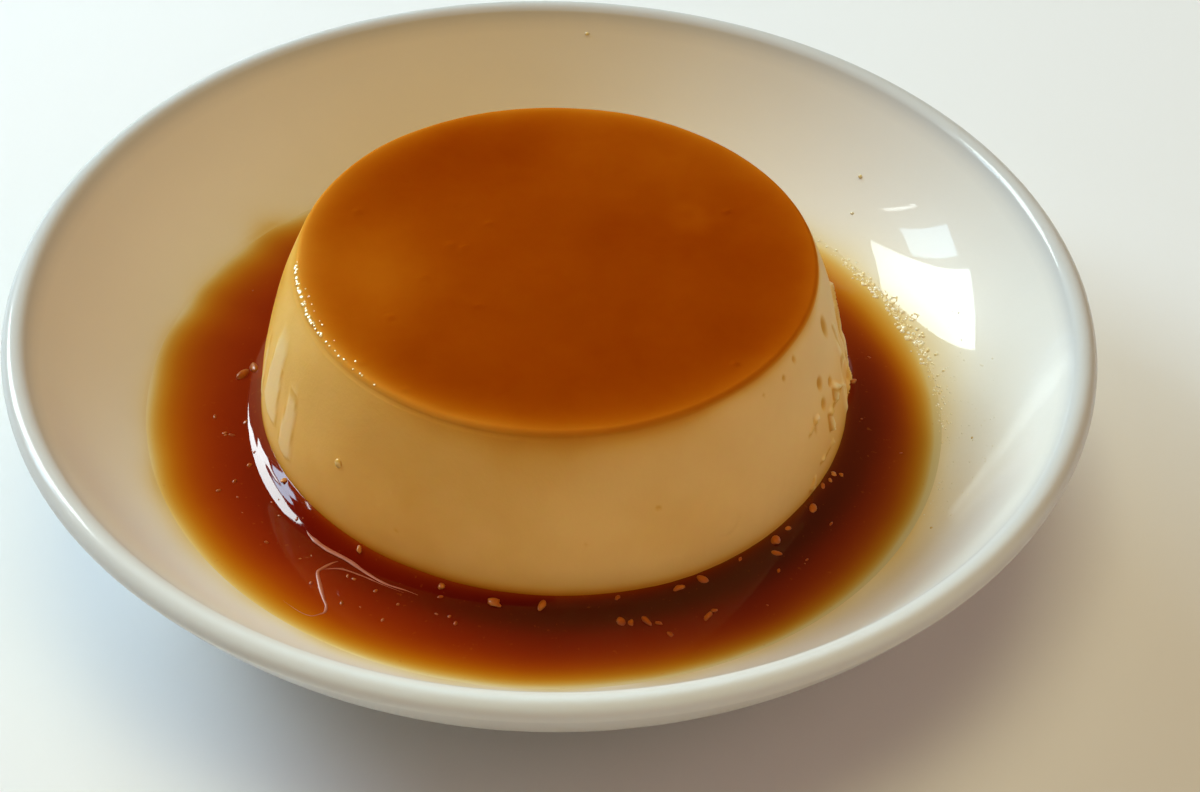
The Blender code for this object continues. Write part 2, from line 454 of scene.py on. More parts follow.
def foot_outline(under):
    """The foot ring: a fillet under the wall, a straight flank, a round tread, and the recess."""
    inside = FOOT_RADIUS - FOOT_WIDTH
    corners = np.array([
        (FOOT_RADIUS + FOOT_FLARE, under),
        (FOOT_RADIUS + TREAD_ROUND, under * FILLET_SHARE),
        (FOOT_RADIUS, TREAD_ROUND),
        (FOOT_RADIUS - TREAD_CUT, TREAD_CUT),
        (FOOT_RADIUS - TREAD_ROUND, 0.0),
        (inside + TREAD_ROUND, 0.0),
        (inside + TREAD_CUT, TREAD_CUT),
        (inside, TREAD_ROUND),
        (inside - RECESS_CUT, FOOT_RECESS - 2.0 * RECESS_CUT),
        (inside - RECESS_ROUND, FOOT_RECESS),
    ])
    ceiling = np.linspace(inside - RECESS_ROUND, RECESS_POLE, FLOOR_ROWS)[1:]
    return np.concatenate([corners, np.stack([ceiling, np.full(len(ceiling), FOOT_RECESS)], axis=-1)])


def turned_skin(outline, columns, first_pole, last_pole):
    """Carry an outline of (radius, height) round +Z and close it with a pole at each end."""
    angle = np.arange(columns) * (math.tau / columns)
    grid = polar(outline[:, :1], angle, outline[:, 1:]).reshape(-1, 3)
    points = np.concatenate([grid, [(0.0, 0.0, first_pole), (0.0, 0.0, last_pole)]])
    return points, closed_faces(len(outline), columns)


print(f"the wall meets the lip at {math.degrees(LIP_SLOPE):.1f} degrees, {WALL_RADIUS / MM:.1f} mm out")

# %% [markdown]
# ### Syrup is coloured glass
#
# Where the syrup is thin it lets the white bowl through. Beer's law says how: each millimetre takes the
# same share of the light, least of red and most of blue. So any syrup here is a depth, stored on the
# mesh, and one rule that turns the depth into a colour. The bowl stands a degree out of level, so the
# pool is deepest at the front. A film of syrup has wetted the wall just outside it; on the glaze its
# straw colour is partly that film and partly painted warm light bounced off the pool.

# %% Syrup: level, edge and film
POOL_DROP = 1.3 * MM
POOL_LEAN = 0.0194
LEAN_TOWARDS = -115.0
RISE_AT_WALL = 0.12 * MM
EDGE_STEPS = 6
BROWN_EDGE = 61.2 * MM
EDGE_SHIFT = 3.2 * MM
EDGE_WAVES = ((0.7, 0.34, 51), (0.4, 0.13, 52))
WAVY_EVERYWHERE = 0.12
WAVY_AT = (0.88, 155.0, 43.0)
EDGE_BULGES = ((-0.6, -95.0, 35.0), (0.4, 20.0, 22.0), (0.8, 152.0, 14.0))
FILM_DEPTH = 0.38
FILM_DEEPER = (0.35, 15.0, 28.0)
FILM_REACH = 1.5 * MM
FILM_REACHES = ((1.2, 5.0, 35.0), (-0.5, 170.0, 30.0))
SYRUP_TAKES = (0.24, 0.76, 2.30)
GLAZE_COLOUR = colour(229, 224, 213)


def pool_level(radius, angle):
    """The pool's plane: a little under the solid's level, because the syrup climbs where it touches,
    and leaning towards the front."""
    return SAUCE_LEVEL - POOL_DROP + POOL_LEAN * radius * np.cos(turned_by(angle, LEAN_TOWARDS))


def pool_edge(angle):
    """The radius where the pool, a little raised at its rim, meets the wall: found by a few steps."""
    radius = np.full_like(angle, BROWN_EDGE)
    for _ in range(EDGE_STEPS):
        radius = wall_radius(pool_level(radius, angle) + RISE_AT_WALL)
    return radius


def brown_edge(angle):
    """Where the brown ends and only a film is left: a shifted circle, wavy at the back left."""
    waves = sum(soft_noise(polar(1.0, angle), *wave) for wave in EDGE_WAVES)
    waves *= WAVY_EVERYWHERE + bells(angle, WAVY_AT)
    shift = EDGE_SHIFT * np.cos(turned_by(angle, LEAN_TOWARDS))
    return BROWN_EDGE + shift + (waves + bells(angle, *EDGE_BULGES)) * MM


def film_depth(radius, angle):
    """Depth of the film in millimetres: full at the brown's edge, dying away up the wall."""
    beyond = np.maximum(radius - brown_edge(angle), 0.0)
    reach = FILM_REACH * (1.0 + bells(angle, *FILM_REACHES))
    return FILM_DEPTH * (1.0 + bells(angle, FILM_DEEPER)) * np.exp(-beyond / reach)


EDGES = brown_edge(np.radians(np.arange(360.0))) / MM
print(f"the brown ends {EDGES.min():.1f} to {EDGES.max():.1f} mm from the axis")

# %% [markdown]
# ### The bowl's glaze
#
# Glazed porcelain is a white body under a thin layer of glass. The Principled shader's coat stands for
# the glass. The tread of the foot ring is bare, dull clay, because a glazed foot would stick in the kiln.

# %% Bowl: finish and mesh
BOWL_COLUMNS = 256
# The lip's tint is painted shade; the white heights, radii and turn place a painted highlight on the lip's
# front.
LIP_SHADE_TINT = (0.76, 0.78, 0.82, 1.0)
LIP_HEIGHTS = (BOWL_HEIGHT - 3.0 * MM, BOWL_HEIGHT - 1.5 * MM)
WHITE_HEIGHTS = (BOWL_HEIGHT - 1.5 * MM, BOWL_HEIGHT - 0.5 * MM)
WHITE_RADII = (BOWL_RADIUS - 2.8 * MM, BOWL_RADIUS - 1.6 * MM)
WHITE_AT = (1.0, -88.0, 40.0)
NO_GREY_AT = (1.0, -90.0, 50.0)
# Painted reflection: a tint on the back wall as if it mirrored the brown flan and pool.
BACK_WALL_REFLECTION = (0.1, 100.0, 42.0)
BACK_WALL_REFLECTION_RADII = (60.0 * MM, 66.0 * MM)
FILM_STREAKS = (0.4, 12.0 * MM, 3)
TREAD_HEIGHT = 0.3 * MM


def glaze_finish():
    """Off-white glaze with a faint orange-peel surface. It is straw-coloured where syrup wetted it, partly a
    real film and partly painted warm light bounced off the pool, with a painted reflection of the flan and
    pool on the back wall. Painted shade greys the lip, and a painted highlight whitens the front of the lip."""
    glaze = Finish("glazed_porcelain", coat_weight=0.4, coat_roughness=0.03, specular_ior_level=0.1)
    cloud = glaze.noise(35.0, 3.0)
    fine = glaze.noise(900.0, 2.0)
    body = glaze.mix(cloud, colour(226, 220, 208), colour(232, 228, 218))
    # The film tint: syrup film, painted warm bounce light near the pool, and a painted reflection at the
    # back.
    tinted_body = glaze.tinted(body, glaze.through(glaze.attribute("film_and_bounce"), SYRUP_TAKES))
    # Painted shade greys the lip, then a painted highlight whitens the front of the lip.
    lip = glaze.mix(glaze.attribute("lip"), tinted_body, glaze.tinted(tinted_body, LIP_SHADE_TINT))
    lip = glaze.mix(glaze.attribute("painted_front_lip_light"), lip, colour(243, 249, 247))
    bare = glaze.attribute("bare")
    base = glaze.mix(bare, lip, colour(205, 196, 180))
    normal = glaze.bump(fine * 0.5 + cloud * 0.5, 0.03 * MM)
    rough = 0.27 + cloud * 0.06 + bare * 0.4
    return glaze.paint(base_color=base, roughness=rough, normal=normal)


bowl_points, bowl_faces = turned_skin(bowl_outline(), BOWL_COLUMNS, FLOOR_HEIGHT, FOOT_RECESS)
bowl_radius, bowl_angle = unwound(bowl_points)
bowl_height = bowl_points[:, 2]
# Near the pool the tint is partly a real film of syrup and partly painted warm light bounced off the pool.
film_and_bounce = film_depth(bowl_radius, bowl_angle) * (1.0 + soft_noise(bowl_points, *FILM_STREAKS))
# Painted reflection of the brown flan and pool on the back wall.
film_and_bounce += bells(bowl_angle, BACK_WALL_REFLECTION) * smooth_step(bowl_radius, *BACK_WALL_REFLECTION_RADII)
film_and_bounce *= np.abs(bowl_height - wall_height(bowl_radius)) < 0.1 * MM
tread = (bowl_height < TREAD_HEIGHT).astype(float)
# Painted shade on the lip, except at its front, and a painted highlight on the front of the lip.
painted_lip_shade = smooth_step(bowl_height, *LIP_HEIGHTS) * (1.0 - bells(bowl_angle, NO_GREY_AT))
painted_front_lip_light = smooth_step(bowl_height, *WHITE_HEIGHTS) * smooth_step(bowl_radius, *WHITE_RADII)
painted_front_lip_light *= bells(bowl_angle, WHITE_AT)
stains_and_light = {"film_and_bounce": film_and_bounce, "bare": tread, "lip": painted_lip_shade, "painted_front_lip_light": painted_front_lip_light}
serve(make_piece("glazed_bowl", bowl_points, bowl_faces, glaze_finish(), **stains_and_light), "glazed_bowl", "bowl")

# %% [markdown]
# ## The flan
#
# Custard and caramel top are one set body, and the stain fades softly from one into the other, so both
# solids are shown by one skin. Its top is a square grid pressed into a disc, which spreads the points
# evenly where a polar grid would crowd them in the middle. Round the rim the grid's border has evenly
# spaced angles, and the side hangs from it in rows.

# %% Flan: the surface
TOP_GRID = 171
SIDE_COLUMNS = 4 * (TOP_GRID - 1)
TOP_LEVEL = FLAN_TOP - 0.35 * MM


def flan_radius(height):
    """Straight from the top to the sauce's level, plus a bulge halfway between them."""
    share = (FLAN_TOP - height) / (FLAN_TOP - SAUCE_LEVEL)
    straight = FLAN_TOP_RADIUS + (FLAN_SAUCE_RADIUS - FLAN_TOP_RADIUS) * share
    return straight + 4.0 * FLAN_BULGE * share * (1.0 - share)


EDGE_START = flan_radius(FLAN_TOP - FLAN_EDGE_RADIUS) - FLAN_EDGE_RADIUS


def flan_swell(angle):
    """How far the flan's outline is off round at an angle."""
    return sum(size * np.sin(waves * angle + turn) for size, waves, turn in FLAN_WAVES)


def disc_grid(count):
    """A square grid pressed into a disc: each square ring becomes a circle of the same share of the
    radius, and the place along a side becomes the angle. Gives the radius share and the angle."""
    line = np.linspace(-1.0, 1.0, count)
    across, along = np.meshgrid(line, line, indexing="ij")
    wide = np.abs(across) > np.abs(along)
    beside = along / np.where(across == 0.0, 1.0, across)
    ahead = across / np.where(along == 0.0, 1.0, along)
    angle = np.where(wide, beside * math.pi / 4.0, math.pi / 2.0 - ahead * math.pi / 4.0)
    share = np.where(wide, across, along)
    return np.abs(share), np.where(share < 0.0, angle + math.pi, angle)


def border_index(count):
    """Indices of a square grid's border, anticlockwise from the corner at -45 degrees."""
    index = np.arange(count * count).reshape(count, count)
    right = index[-1, :-1]
    back = index[:0:-1, -1]
    left = index[0, :0:-1]
    front = index[:-1, 0]
    return np.concatenate([right, back, left, front])


print(f"top grid {TOP_GRID} x {TOP_GRID}, its rim {EDGE_START / MM:.1f} mm from the axis")

# %% [markdown]
# ### Bubbles, pits and torn skin
#
# Tiny bubbles have lifted the caramel skin into pimples, a few pits show where bubbles burst against the
# mould, and on the right the custard stuck to the mould and its skin is torn and wrinkled. Each is a
# small hill or hollow added to the smooth surface: a bell curve of a stated width and height.

# %% Flan: pimples and pits
# Pimples: x, y, width and height in millimetres.
PIMPLES = (
    (-16.0, 2.0, 0.75, 0.22), (-14.0, 1.5, 0.65, 0.20), (-10.5, 7.5, 0.6, 0.18), (-19.5, -5.5, 0.6, 0.18),
    (-11.5, -12.0, 0.75, 0.20), (-24.0, -15.0, 0.5, 0.26), (-27.5, -25.0, 0.5, 0.22),
    (-21.0, -30.5, 0.45, 0.22), (26.0, 11.5, 0.55, 0.20), (25.5, -24.0, 0.5, 0.22), (-30.5, 10.0, 0.7, 0.18),
)
# Pits: direction in degrees, then level, width, length and depth in millimetres.
PITS = (
    (-13.5, 35.6, 1.2, 1.5, 0.30), (-30.0, 38.0, 0.5, 0.5, 0.22), (-35.0, 37.1, 0.45, 0.45, 0.20),
    (-23.2, 30.6, 0.9, 1.0, 0.30), (-18.5, 28.3, 0.8, 0.8, 0.25), (-23.5, 27.1, 0.8, 1.0, 0.25),
    (-28.5, 26.0, 0.45, 1.4, 0.14), (-42.0, 37.2, 0.3, 0.3, 0.14), (-70.0, 28.0, 0.45, 0.35, 0.15),
    (-120.0, 21.0, 0.3, 0.3, 0.08), (-84.0, 24.0, 0.3, 0.3, 0.07), (60.0, 28.0, 0.6, 0.9, 0.22),
    (110.0, 24.0, 0.5, 0.6, 0.20), (150.0, 30.0, 0.5, 0.8, 0.18),
)
TOP_SWELL = (0.09 * MM, 24.0 * MM, 11)
TOP_RIPPLE = (0.012 * MM, 3.0 * MM, 12)


def top_relief(flat):
    """Height over the flat top's points, in metres: slow swells, and the pimples as bell curves."""
    relief = soft_noise(flat, *TOP_SWELL) + soft_noise(flat, *TOP_RIPPLE)
    for place_x, place_y, width, height in PIMPLES:
        away = np.hypot(flat[..., 0] - place_x * MM, flat[..., 1] - place_y * MM)
        relief += height * MM * bell(away, width * MM)
    return relief


def pit_shape(angle, height):
    """The side's pits: each a flat-bottomed oval, scaled by its depth in millimetres."""
    depth = np.zeros_like(angle)
    for place, level, width, length, size in PITS:
        around = turned_by(angle, place) * FLAN_SAUCE_RADIUS / (width * MM)
        along = (height - level * MM) / (length * MM)
        depth += size * np.exp(-((around ** 2 + along ** 2) ** 2))
    return depth


print(f"{len(PIMPLES)} pimples and {len(PITS)} pits")

# %% Flan: sheets of syrup
# Sheets: direction in degrees, then low end, high end and width in millimetres.
LOBES = ((-163.0, 19.7, 36.0, 9.6), (-152.5, 18.4, 32.0, 5.6), (-172.0, 17.5, 30.0, 2.6))
LOBE_TOP_SHARE = 0.4
LOBE_RIM = (0.78, 1.02)
LOBE_END = 1.5
LOBE_FADE = 4.0
OUTLINE_UNDER = 30.0 * MM


def lobe_shape(angle, height):
    """Sheets of syrup that ran down the left side: even, with a soft rim and a round lower end. Each
    has a direction, a low and a high end, and a width, and is narrowest at its top."""
    sheet = np.zeros_like(angle)
    for place, low, high, width in LOBES:
        way_down = np.clip((high * MM - height) / ((high - low) * MM), 0.0, 1.0)
        narrow = LOBE_TOP_SHARE + (1.0 - LOBE_TOP_SHARE) * way_down
        around = np.abs(turned_by(angle, place)) * FLAN_SAUCE_RADIUS / (0.5 * width * narrow * MM)
        below = np.maximum((low + LOBE_END) * MM - height, 0.0) / (LOBE_END * MM)
        body = 1.0 - smooth_step(np.hypot(around, below), *LOBE_RIM)
        fade = 1.0 - smooth_step(height, (high - LOBE_FADE) * MM, high * MM)
        sheet = np.maximum(sheet, body * fade)
    return sheet


def lobe_outline(angle, height):
    """1 along the rims of the sheets, where the syrup is thickest."""
    sheet = lobe_shape(angle, height)
    return 4.0 * sheet * (1.0 - sheet) * (height < OUTLINE_UNDER)


print(f"{len(LOBES)} sheets of syrup")

# %% Flan: torn skin
# Wrinkles: height in millimetres, then corners as (degrees, millimetres up).
WRINKLES = (
    (0.75, (-12.3, 24.0), (-17.6, 27.0), (-18.0, 24.9), (-21.8, 24.6), (-21.8, 21.8)),
    (0.6, (-12.3, 24.0), (-15.8, 24.5), (-19.2, 24.3)),
    (0.5, (-21.3, 18.9), (-23.8, 18.6), (-27.0, 18.6)),
    (0.45, (-30.0, 17.3), (-31.5, 15.9)),
    (0.35, (-27.1, 26.6), (-30.4, 25.7)),
    (0.6, (4.0, 33.5), (0.0, 31.5), (-3.0, 28.5), (-2.6, 24.4), (-5.0, 20.5), (-10.0, 18.6)),
    (0.30, (-8.0, 33.0), (-7.0, 29.0), (-9.0, 26.0)),
)
WRINKLE_WIDTH = 0.25 * MM
FOLD_TURN = math.radians(0.75)
FOLD_DROP = 0.2 * MM
FOLD_WIDTH = 0.3 * MM
STRANDS = 13
CREASE = (-56.0, 23.0)
CREASE_DEPTH = 0.10 * MM
CREASE_RING = 2.6 * MM
CREASE_DROP = 1.2 * MM
CREASE_WIDTH = 0.35 * MM
SIDE_LUMPS = (0.08 * MM, 16.0 * MM, 31)
SIDE_RIPPLE = (0.012 * MM, 2.5 * MM, 32)
SHEET_THICKNESS = 0.14 * MM


def from_line(angle, height, corners):
    """Distance on the flan's side from a bent line, whose corners are (degrees, millimetres)."""
    nearest = np.full_like(angle, 1.0)
    for (turn_a, level_a), (turn_b, level_b) in zip(corners, corners[1:]):
        across = turned_by(angle, turn_a) * FLAN_SAUCE_RADIUS
        along = height - level_a * MM
        run = math.radians(turn_b - turn_a) * FLAN_SAUCE_RADIUS
        rise = (level_b - level_a) * MM
        share = np.clip((across * run + along * rise) / (run ** 2 + rise ** 2), 0.0, 1.0)
        nearest = np.minimum(nearest, np.hypot(across - share * run, along - share * rise))
    return nearest


def fold_shade(angle, height):
    """1 in the folds beside the placed wrinkles, on one side: syrup gathered there, and painted shade."""
    shade = np.zeros_like(angle)
    for size, *corners in WRINKLES:
        beside = from_line(angle + FOLD_TURN, height + FOLD_DROP, corners)
        shade = np.maximum(shade, min(size + 0.3, 1.0) * bell(beside, FOLD_WIDTH))
    return shade


def torn_skin(angle, height):
    """Wrinkles of torn skin: the placed ones, each a narrow ridge along a bent line, and random short
    strands on the far right, whose height swells and fades along their length."""
    wander = 0.15 * MM * np.sin(height / (0.9 * MM)) + 0.125 * MM * np.sin(angle * 70.0)
    relief = np.zeros_like(angle)
    for size, *corners in WRINKLES:
        beside = from_line(angle, height, corners) + wander
        relief = np.maximum(relief, size * MM * bell(beside, WRINKLE_WIDTH))
    draw = np.random.default_rng(21)
    for _ in range(STRANDS):
        start = draw.uniform(-12.0, 20.0)
        middle = draw.uniform(19.0, 31.0) * MM
        length = draw.uniform(1.5, 4.5) * MM
        width = draw.uniform(0.25, 0.5) * MM
        size = draw.uniform(0.2, 0.5) * MM
        wave = height / (draw.uniform(1.2, 2.6) * MM) + draw.uniform(0.0, 6.0)
        around = turned_by(angle, start) * FLAN_SAUCE_RADIUS - draw.uniform(0.3, 0.9) * MM * np.sin(wave)
        relief += size * bell(around, width) * np.exp(-(((height - middle) / length) ** 4))
    return relief


def faint_crease(angle, height):
    """A shallow curved crease low on the front right, where the custard folded as it set."""
    around = turned_by(angle, CREASE[0]) * FLAN_SAUCE_RADIUS
    along = height - CREASE[1] * MM
    ring = np.hypot(around, along + CREASE_DROP) - CREASE_RING
    return CREASE_DEPTH * bell(ring, CREASE_WIDTH) * smooth_step(around - along, -0.5 * MM, 1.5 * MM)


def side_relief(angle, height, points):
    """Outward relief of the side: slow lumps, sheets and torn skin, with the pits taken away."""
    hills = soft_noise(points, *SIDE_LUMPS) + soft_noise(points, *SIDE_RIPPLE)
    hills += SHEET_THICKNESS * lobe_shape(angle, height) + torn_skin(angle, height)
    return hills - faint_crease(angle, height) - MM * pit_shape(angle, height)


print(f"{len(WRINKLES)} placed wrinkles and {STRANDS} strands")

# %% [markdown]
# ### One skin from a disc and rows
#
# The top and the side could be two meshes, but a seam would show. So the side's rows have as many
# columns as the disc's border has points, and the first row is joined to that border. Where the skin is
# wrinkled it needs more points, and its columns are drawn together there.

# %% Flan: points and faces
DENSER_TOWARDS = -14.0
DENSER = 0.55
EDGE_ROWS = 9
SIDE_ROWS = 84
FOOT_ROWS = 4
UNDER_SAUCE = SAUCE_LEVEL - 1.0 * MM
FLAN_FOOT = FLOOR_HEIGHT + 0.6 * MM
EDGE_FADE = 1.5 * MM


def flan_top():
    """The top's points, as a disc grid with its relief, and the angle of each. The angles are drawn
    together towards the wrinkled right side by a sine, which gives its ridges twice the columns."""
    share, angle = disc_grid(TOP_GRID)
    angle = angle - DENSER * np.sin(turned_by(angle, DENSER_TOWARDS))
    points = polar(share * (EDGE_START + flan_swell(angle)), angle)
    points[..., 2] = np.minimum(TOP_LEVEL + top_relief(points), FLAN_TOP)
    return points.reshape(-1, 3), angle.ravel()


def flan_side(border, border_angle):
    """The side's rows of points, from the rounded edge to the foot, with the edge's rows lifted to meet
    the top's uneven border."""
    turn = np.linspace(0.0, math.pi / 2.0, EDGE_ROWS)[1:]
    side_height = np.concatenate([
        np.linspace(TOP_LEVEL - FLAN_EDGE_RADIUS, UNDER_SAUCE, SIDE_ROWS)[1:],
        np.linspace(UNDER_SAUCE, FLAN_FOOT, FOOT_ROWS)[1:],
    ])
    edge_height = TOP_LEVEL - FLAN_EDGE_RADIUS + FLAN_EDGE_RADIUS * np.cos(turn)
    edge_radius = EDGE_START + FLAN_EDGE_RADIUS * np.sin(turn)
    height = np.concatenate([edge_height, side_height])[:, None] + 0.0 * border_angle
    angle = border_angle + 0.0 * height
    radius = np.concatenate([edge_radius, flan_radius(side_height)])[:, None] + flan_swell(border_angle)
    fade = smooth_step(TOP_LEVEL - height, 0.0, EDGE_FADE)
    lift = (1.0 - fade) * (border[:, 2] - TOP_LEVEL)
    radius = radius + fade * side_relief(angle, height, polar(radius, angle, height))
    return polar(radius, angle, height + lift)


def flan_skin():
    """The flan's skin as points and faces: top, join, side and an unseen underside."""
    top_points, angle = flan_top()
    border = border_index(TOP_GRID)
    side = flan_side(top_points[border], angle[border])
    index = np.arange(TOP_GRID * TOP_GRID).reshape(TOP_GRID, TOP_GRID)
    top_faces = np.stack([index[:-1, :-1], index[1:, :-1], index[1:, 1:], index[:-1, 1:]], axis=-1)
    first = len(top_points)
    ring = first + np.arange(SIDE_COLUMNS)
    points = np.concatenate([top_points, side.reshape(-1, 3), [(0.0, 0.0, FLAN_FOOT)]])
    faces = [
        top_faces.reshape(-1, 4),
        np.stack([border, ring, np.roll(ring, -1), np.roll(border, -1)], axis=-1),
        ring_faces(len(side), SIDE_COLUMNS, first),
        fan_faces(len(points) - 1, ring + (len(side) - 1) * SIDE_COLUMNS, flip=True),
    ]
    return points + FLAN_AT, faces


flan_points, flan_faces = flan_skin()
print(f"{len(flan_points)} points, {flan_points[:, 2].max() / MM:.1f} mm high")

# %% [markdown]
# ### How much caramel and painted shade each point holds
#
# The top took up most caramel, but not evenly: less over some patches and at the rim, more over one
# patch. It ran a little way down the side and gathered at the foot, where painted shade darkens it
# further; the folds hold syrup and painted shade, and the pits are darker. Painted light pales the
# custard on the right and on the sheets. The amounts are worked out per point and stored on the mesh,
# because a texture would know nothing of them.

# %% Flan: caramel at each point
# Bells are (amount, direction, width); patches are (amount, x, y, width, length) in millimetres.
SOAK = 2.52
SOAK_NOISE = (0.07, 13.0 * MM, 41)
TOP_PATCHES = (
    (0.72, -27.0, -5.0, 10.0, 15.0), (0.15, -14.0, -2.0, 16.0, 20.0),
    (0.28, 14.0, 24.0, 18.0, 13.0), (-0.32, -14.0, 25.0, 9.0, 8.0),
)
THIN_BACK = (0.12, 5.0 * MM, 30.0 * MM)
RIM_THINS = 1.35
RIM_LEAN = (0.5, 15.0)
RIM_BELLS = ((0.35, 75.0, 30.0), (-0.4, 152.0, 22.0))
RIM_REACH = 2.7 * MM
REACH = 0.65
REACH_BELLS = ((1.3, -98.0, 30.0), (1.4, -180.0, 15.0), (-0.35, 3.0, 28.0))
REACH_NOISE = (0.15, 9.0 * MM, 42)
BARE_EDGE = (0.9, 12.0, 25.0)
FOOT_RING = 0.35
FOOT_RING_REACH = 0.8 * MM
# Soaked and shaded at the foot: a bell, and how far up it reaches in millimetres. The front row is
# syrup with painted shade where the flan meets the pool; the rows at -183 degrees are painted shade.
FOOT_SOAK_AND_SHADE = (
    (1.3, -120.0, 50.0, 0.8), (0.4, -183.0, 9.0, math.inf), (1.0, -183.0, 9.0, 3.0), (0.4, -12.0, 14.0, 5.0),
)
WARM_SIDE = (0.16, -128.0, 17.0)
EDGE_DROP = 0.6 * MM
LOBE_SOAK = 0.3
FOLD_SOAK_AND_SHADE = 0.6
PIT_DARKENING = 2.2
# Painted light: the rows below pale the custard where it is lit, on the right side and on the sheets.
LIT_RIGHT = (0.75, 8.0, 34.0)
LIT_RIGHT_HEIGHTS = (20.0 * MM, 34.0 * MM)
LIT_SIDE = (0.2, -25.0, 45.0)
PALE_AND_LIT_RIDGES = 1.5 / MM
SHEET_SHEEN = 0.4
STAINED_FROM = (FLAN_TOP - 1.5 * MM, FLAN_TOP - 0.8 * MM)


def on_top(points):
    """Caramel soaked into the top: lighter over some patches and darker over one, thinner at the back and
    towards the rim, most of all at the rim's left and back."""
    radius, angle = unwound(points)
    x, y, _ = points.T
    inward = np.maximum(FLAN_TOP_RADIUS - radius, 0.0)
    rim = RIM_THINS - RIM_LEAN[0] * np.cos(turned_by(angle, RIM_LEAN[1])) + bells(angle, *RIM_BELLS)
    soak = SOAK - rim * np.exp(-inward / RIM_REACH) - THIN_BACK[0] * smooth_step(y, *THIN_BACK[1:])
    for amount, middle_x, middle_y, width, length in TOP_PATCHES:
        soak -= amount * bell(x / MM - middle_x, width) * bell(y / MM - middle_y, length)
    return soak + soft_noise(points * (1.0, 1.0, 0.0), *SOAK_NOISE)


def soak_and_shade(points):
    """Caramel at each point, and painted shade: the top's own, dying away down the side; syrup at the foot,
    with painted shade where the flan meets the pool and only painted shade on the far left; syrup along
    the rims of the sheets; syrup and painted shade in the folds; and darker pits."""
    angle = unwound(points - FLAN_AT)[1]
    height = points[:, 2]
    down = FLAN_TOP - EDGE_DROP - height
    reach = (REACH + bells(angle, *REACH_BELLS)) * (1.0 + soft_noise(points, *REACH_NOISE)) * MM
    fading = np.exp(-np.maximum(down, 0.0) / reach)
    fading *= 1.0 - bells(angle, BARE_EDGE) * smooth_step(down, -0.2 * MM, 0.15 * MM)
    above = np.maximum(height - SAUCE_LEVEL, 0.0)
    foot = FOOT_RING * np.exp(-above / FOOT_RING_REACH) + LOBE_SOAK * lobe_outline(angle, height)
    for *row, foot_reach in FOOT_SOAK_AND_SHADE:
        foot += bells(angle, row) * np.exp(-above / (foot_reach * MM))
    foot *= smooth_step(down, 1.0 * MM, 6.0 * MM)
    # Syrup and painted shade in the folds beside the wrinkles.
    foot += FOLD_SOAK_AND_SHADE * fold_shade(angle, height) * smooth_step(down, 1.0 * MM, 3.0 * MM)
    foot += bells(angle, WARM_SIDE) * smooth_step(down, 0.0, 3.0 * MM)
    # Darker in the pits.
    pitted = np.where(down > MM, PIT_DARKENING * pit_shape(angle, height), 0.0)
    return on_top(points - FLAN_AT) * fading + foot + pitted


def paleness(points):
    """Painted light: paler custard on the right, lit from the bowl's wall, and sheen on the sheets. The torn
    ridges are paler as bare custard and as painted highlight.
    """
    angle = unwound(points - FLAN_AT)[1]
    height = points[:, 2]
    pale = bells(angle, LIT_RIGHT) * smooth_step(height, *LIT_RIGHT_HEIGHTS) + bells(angle, LIT_SIDE)
    pale += PALE_AND_LIT_RIDGES * torn_skin(angle, height) + SHEET_SHEEN * lobe_shape(angle, height)
    return np.clip(pale, 0.0, 1.0) * (1.0 - smooth_step(height, *STAINED_FROM))


flan_soak_and_shade = soak_and_shade(flan_points)
flan_pale = paleness(flan_points)
print(f"caramel from {flan_soak_and_shade.min():.2f} to {flan_soak_and_shade.max():.2f}")

# %% [markdown]
# ### The custard's finish
#
# Set custard is dense but not opaque: light goes in a millimetre or two and comes out warmer, which is
# what subsurface scattering does. The stain is not another paint. It is the same custard seen through
# the caramel it holds, so Beer's law colours it as well, and top, rim and side blend by themselves. The
# same rule darkens the painted shade at the foot and in the folds, and painted light mixes in a paler
# custard where the flan is lit.

# %% Flan: finish
CARAMEL_TAKES = (0.45, 1.0, 2.4)


def custard_finish():
    """Pale yellow custard, browned by the caramel and painted shade that each point holds, and paled by
    painted light.
    """
    flan = Finish("set_custard", subsurface_weight=0.3, subsurface_scale=1.8 * MM, specular_ior_level=0.0)
    flan.shader.inputs["Subsurface Radius"].default_value = (1.0, 0.55, 0.22)
    cloud = flan.noise(55.0, 3.0, 0.55)
    mottle = flan.noise(260.0, 4.0, 0.6)
    grain = flan.noise(1900.0, 2.0, 0.6)
    pebble = flan.noise(700.0, 3.0, 0.6)
    custard = flan.mix(cloud.step(0.3, 0.7), colour(236, 180, 94), colour(243, 190, 108))
    # Painted light: a paler, lit custard colour mixed in on the right side, the ridges and the sheets.
    custard = flan.mix(flan.attribute("pale"), custard, colour(250, 224, 172))
    # The soak attribute holds caramel and, at the foot and in the folds, painted shade.
    soak = flan.attribute("soak") * (0.94 + mottle * 0.12)
    base = flan.tinted(custard, flan.through(soak, CARAMEL_TAKES))
    normal = flan.bump(grain * 0.35 + pebble * 0.65, 0.05 * MM)
    rough = 0.26 + mottle * 0.12
    return flan.paint(base_color=base, roughness=rough, normal=normal)


flan = make_piece("flan", flan_points, flan_faces, custard_finish(), soak=flan_soak_and_shade, pale=flan_pale)
serve(flan, "custard", "custard", "caramel_top")

# %% [markdown]
# ## The sauce
#
# The pool is a ring between flan and wall. Its surface is flat but for the meniscus, the little ramp
# that the syrup climbs where it wets the custard and the glaze. At the wall its height simply dies away
# with distance. At the flan its slope grows evenly from a soft bend inwards, and where it is steep
# enough the window shines back from it as a bright crescent, so it is worth its own formula.

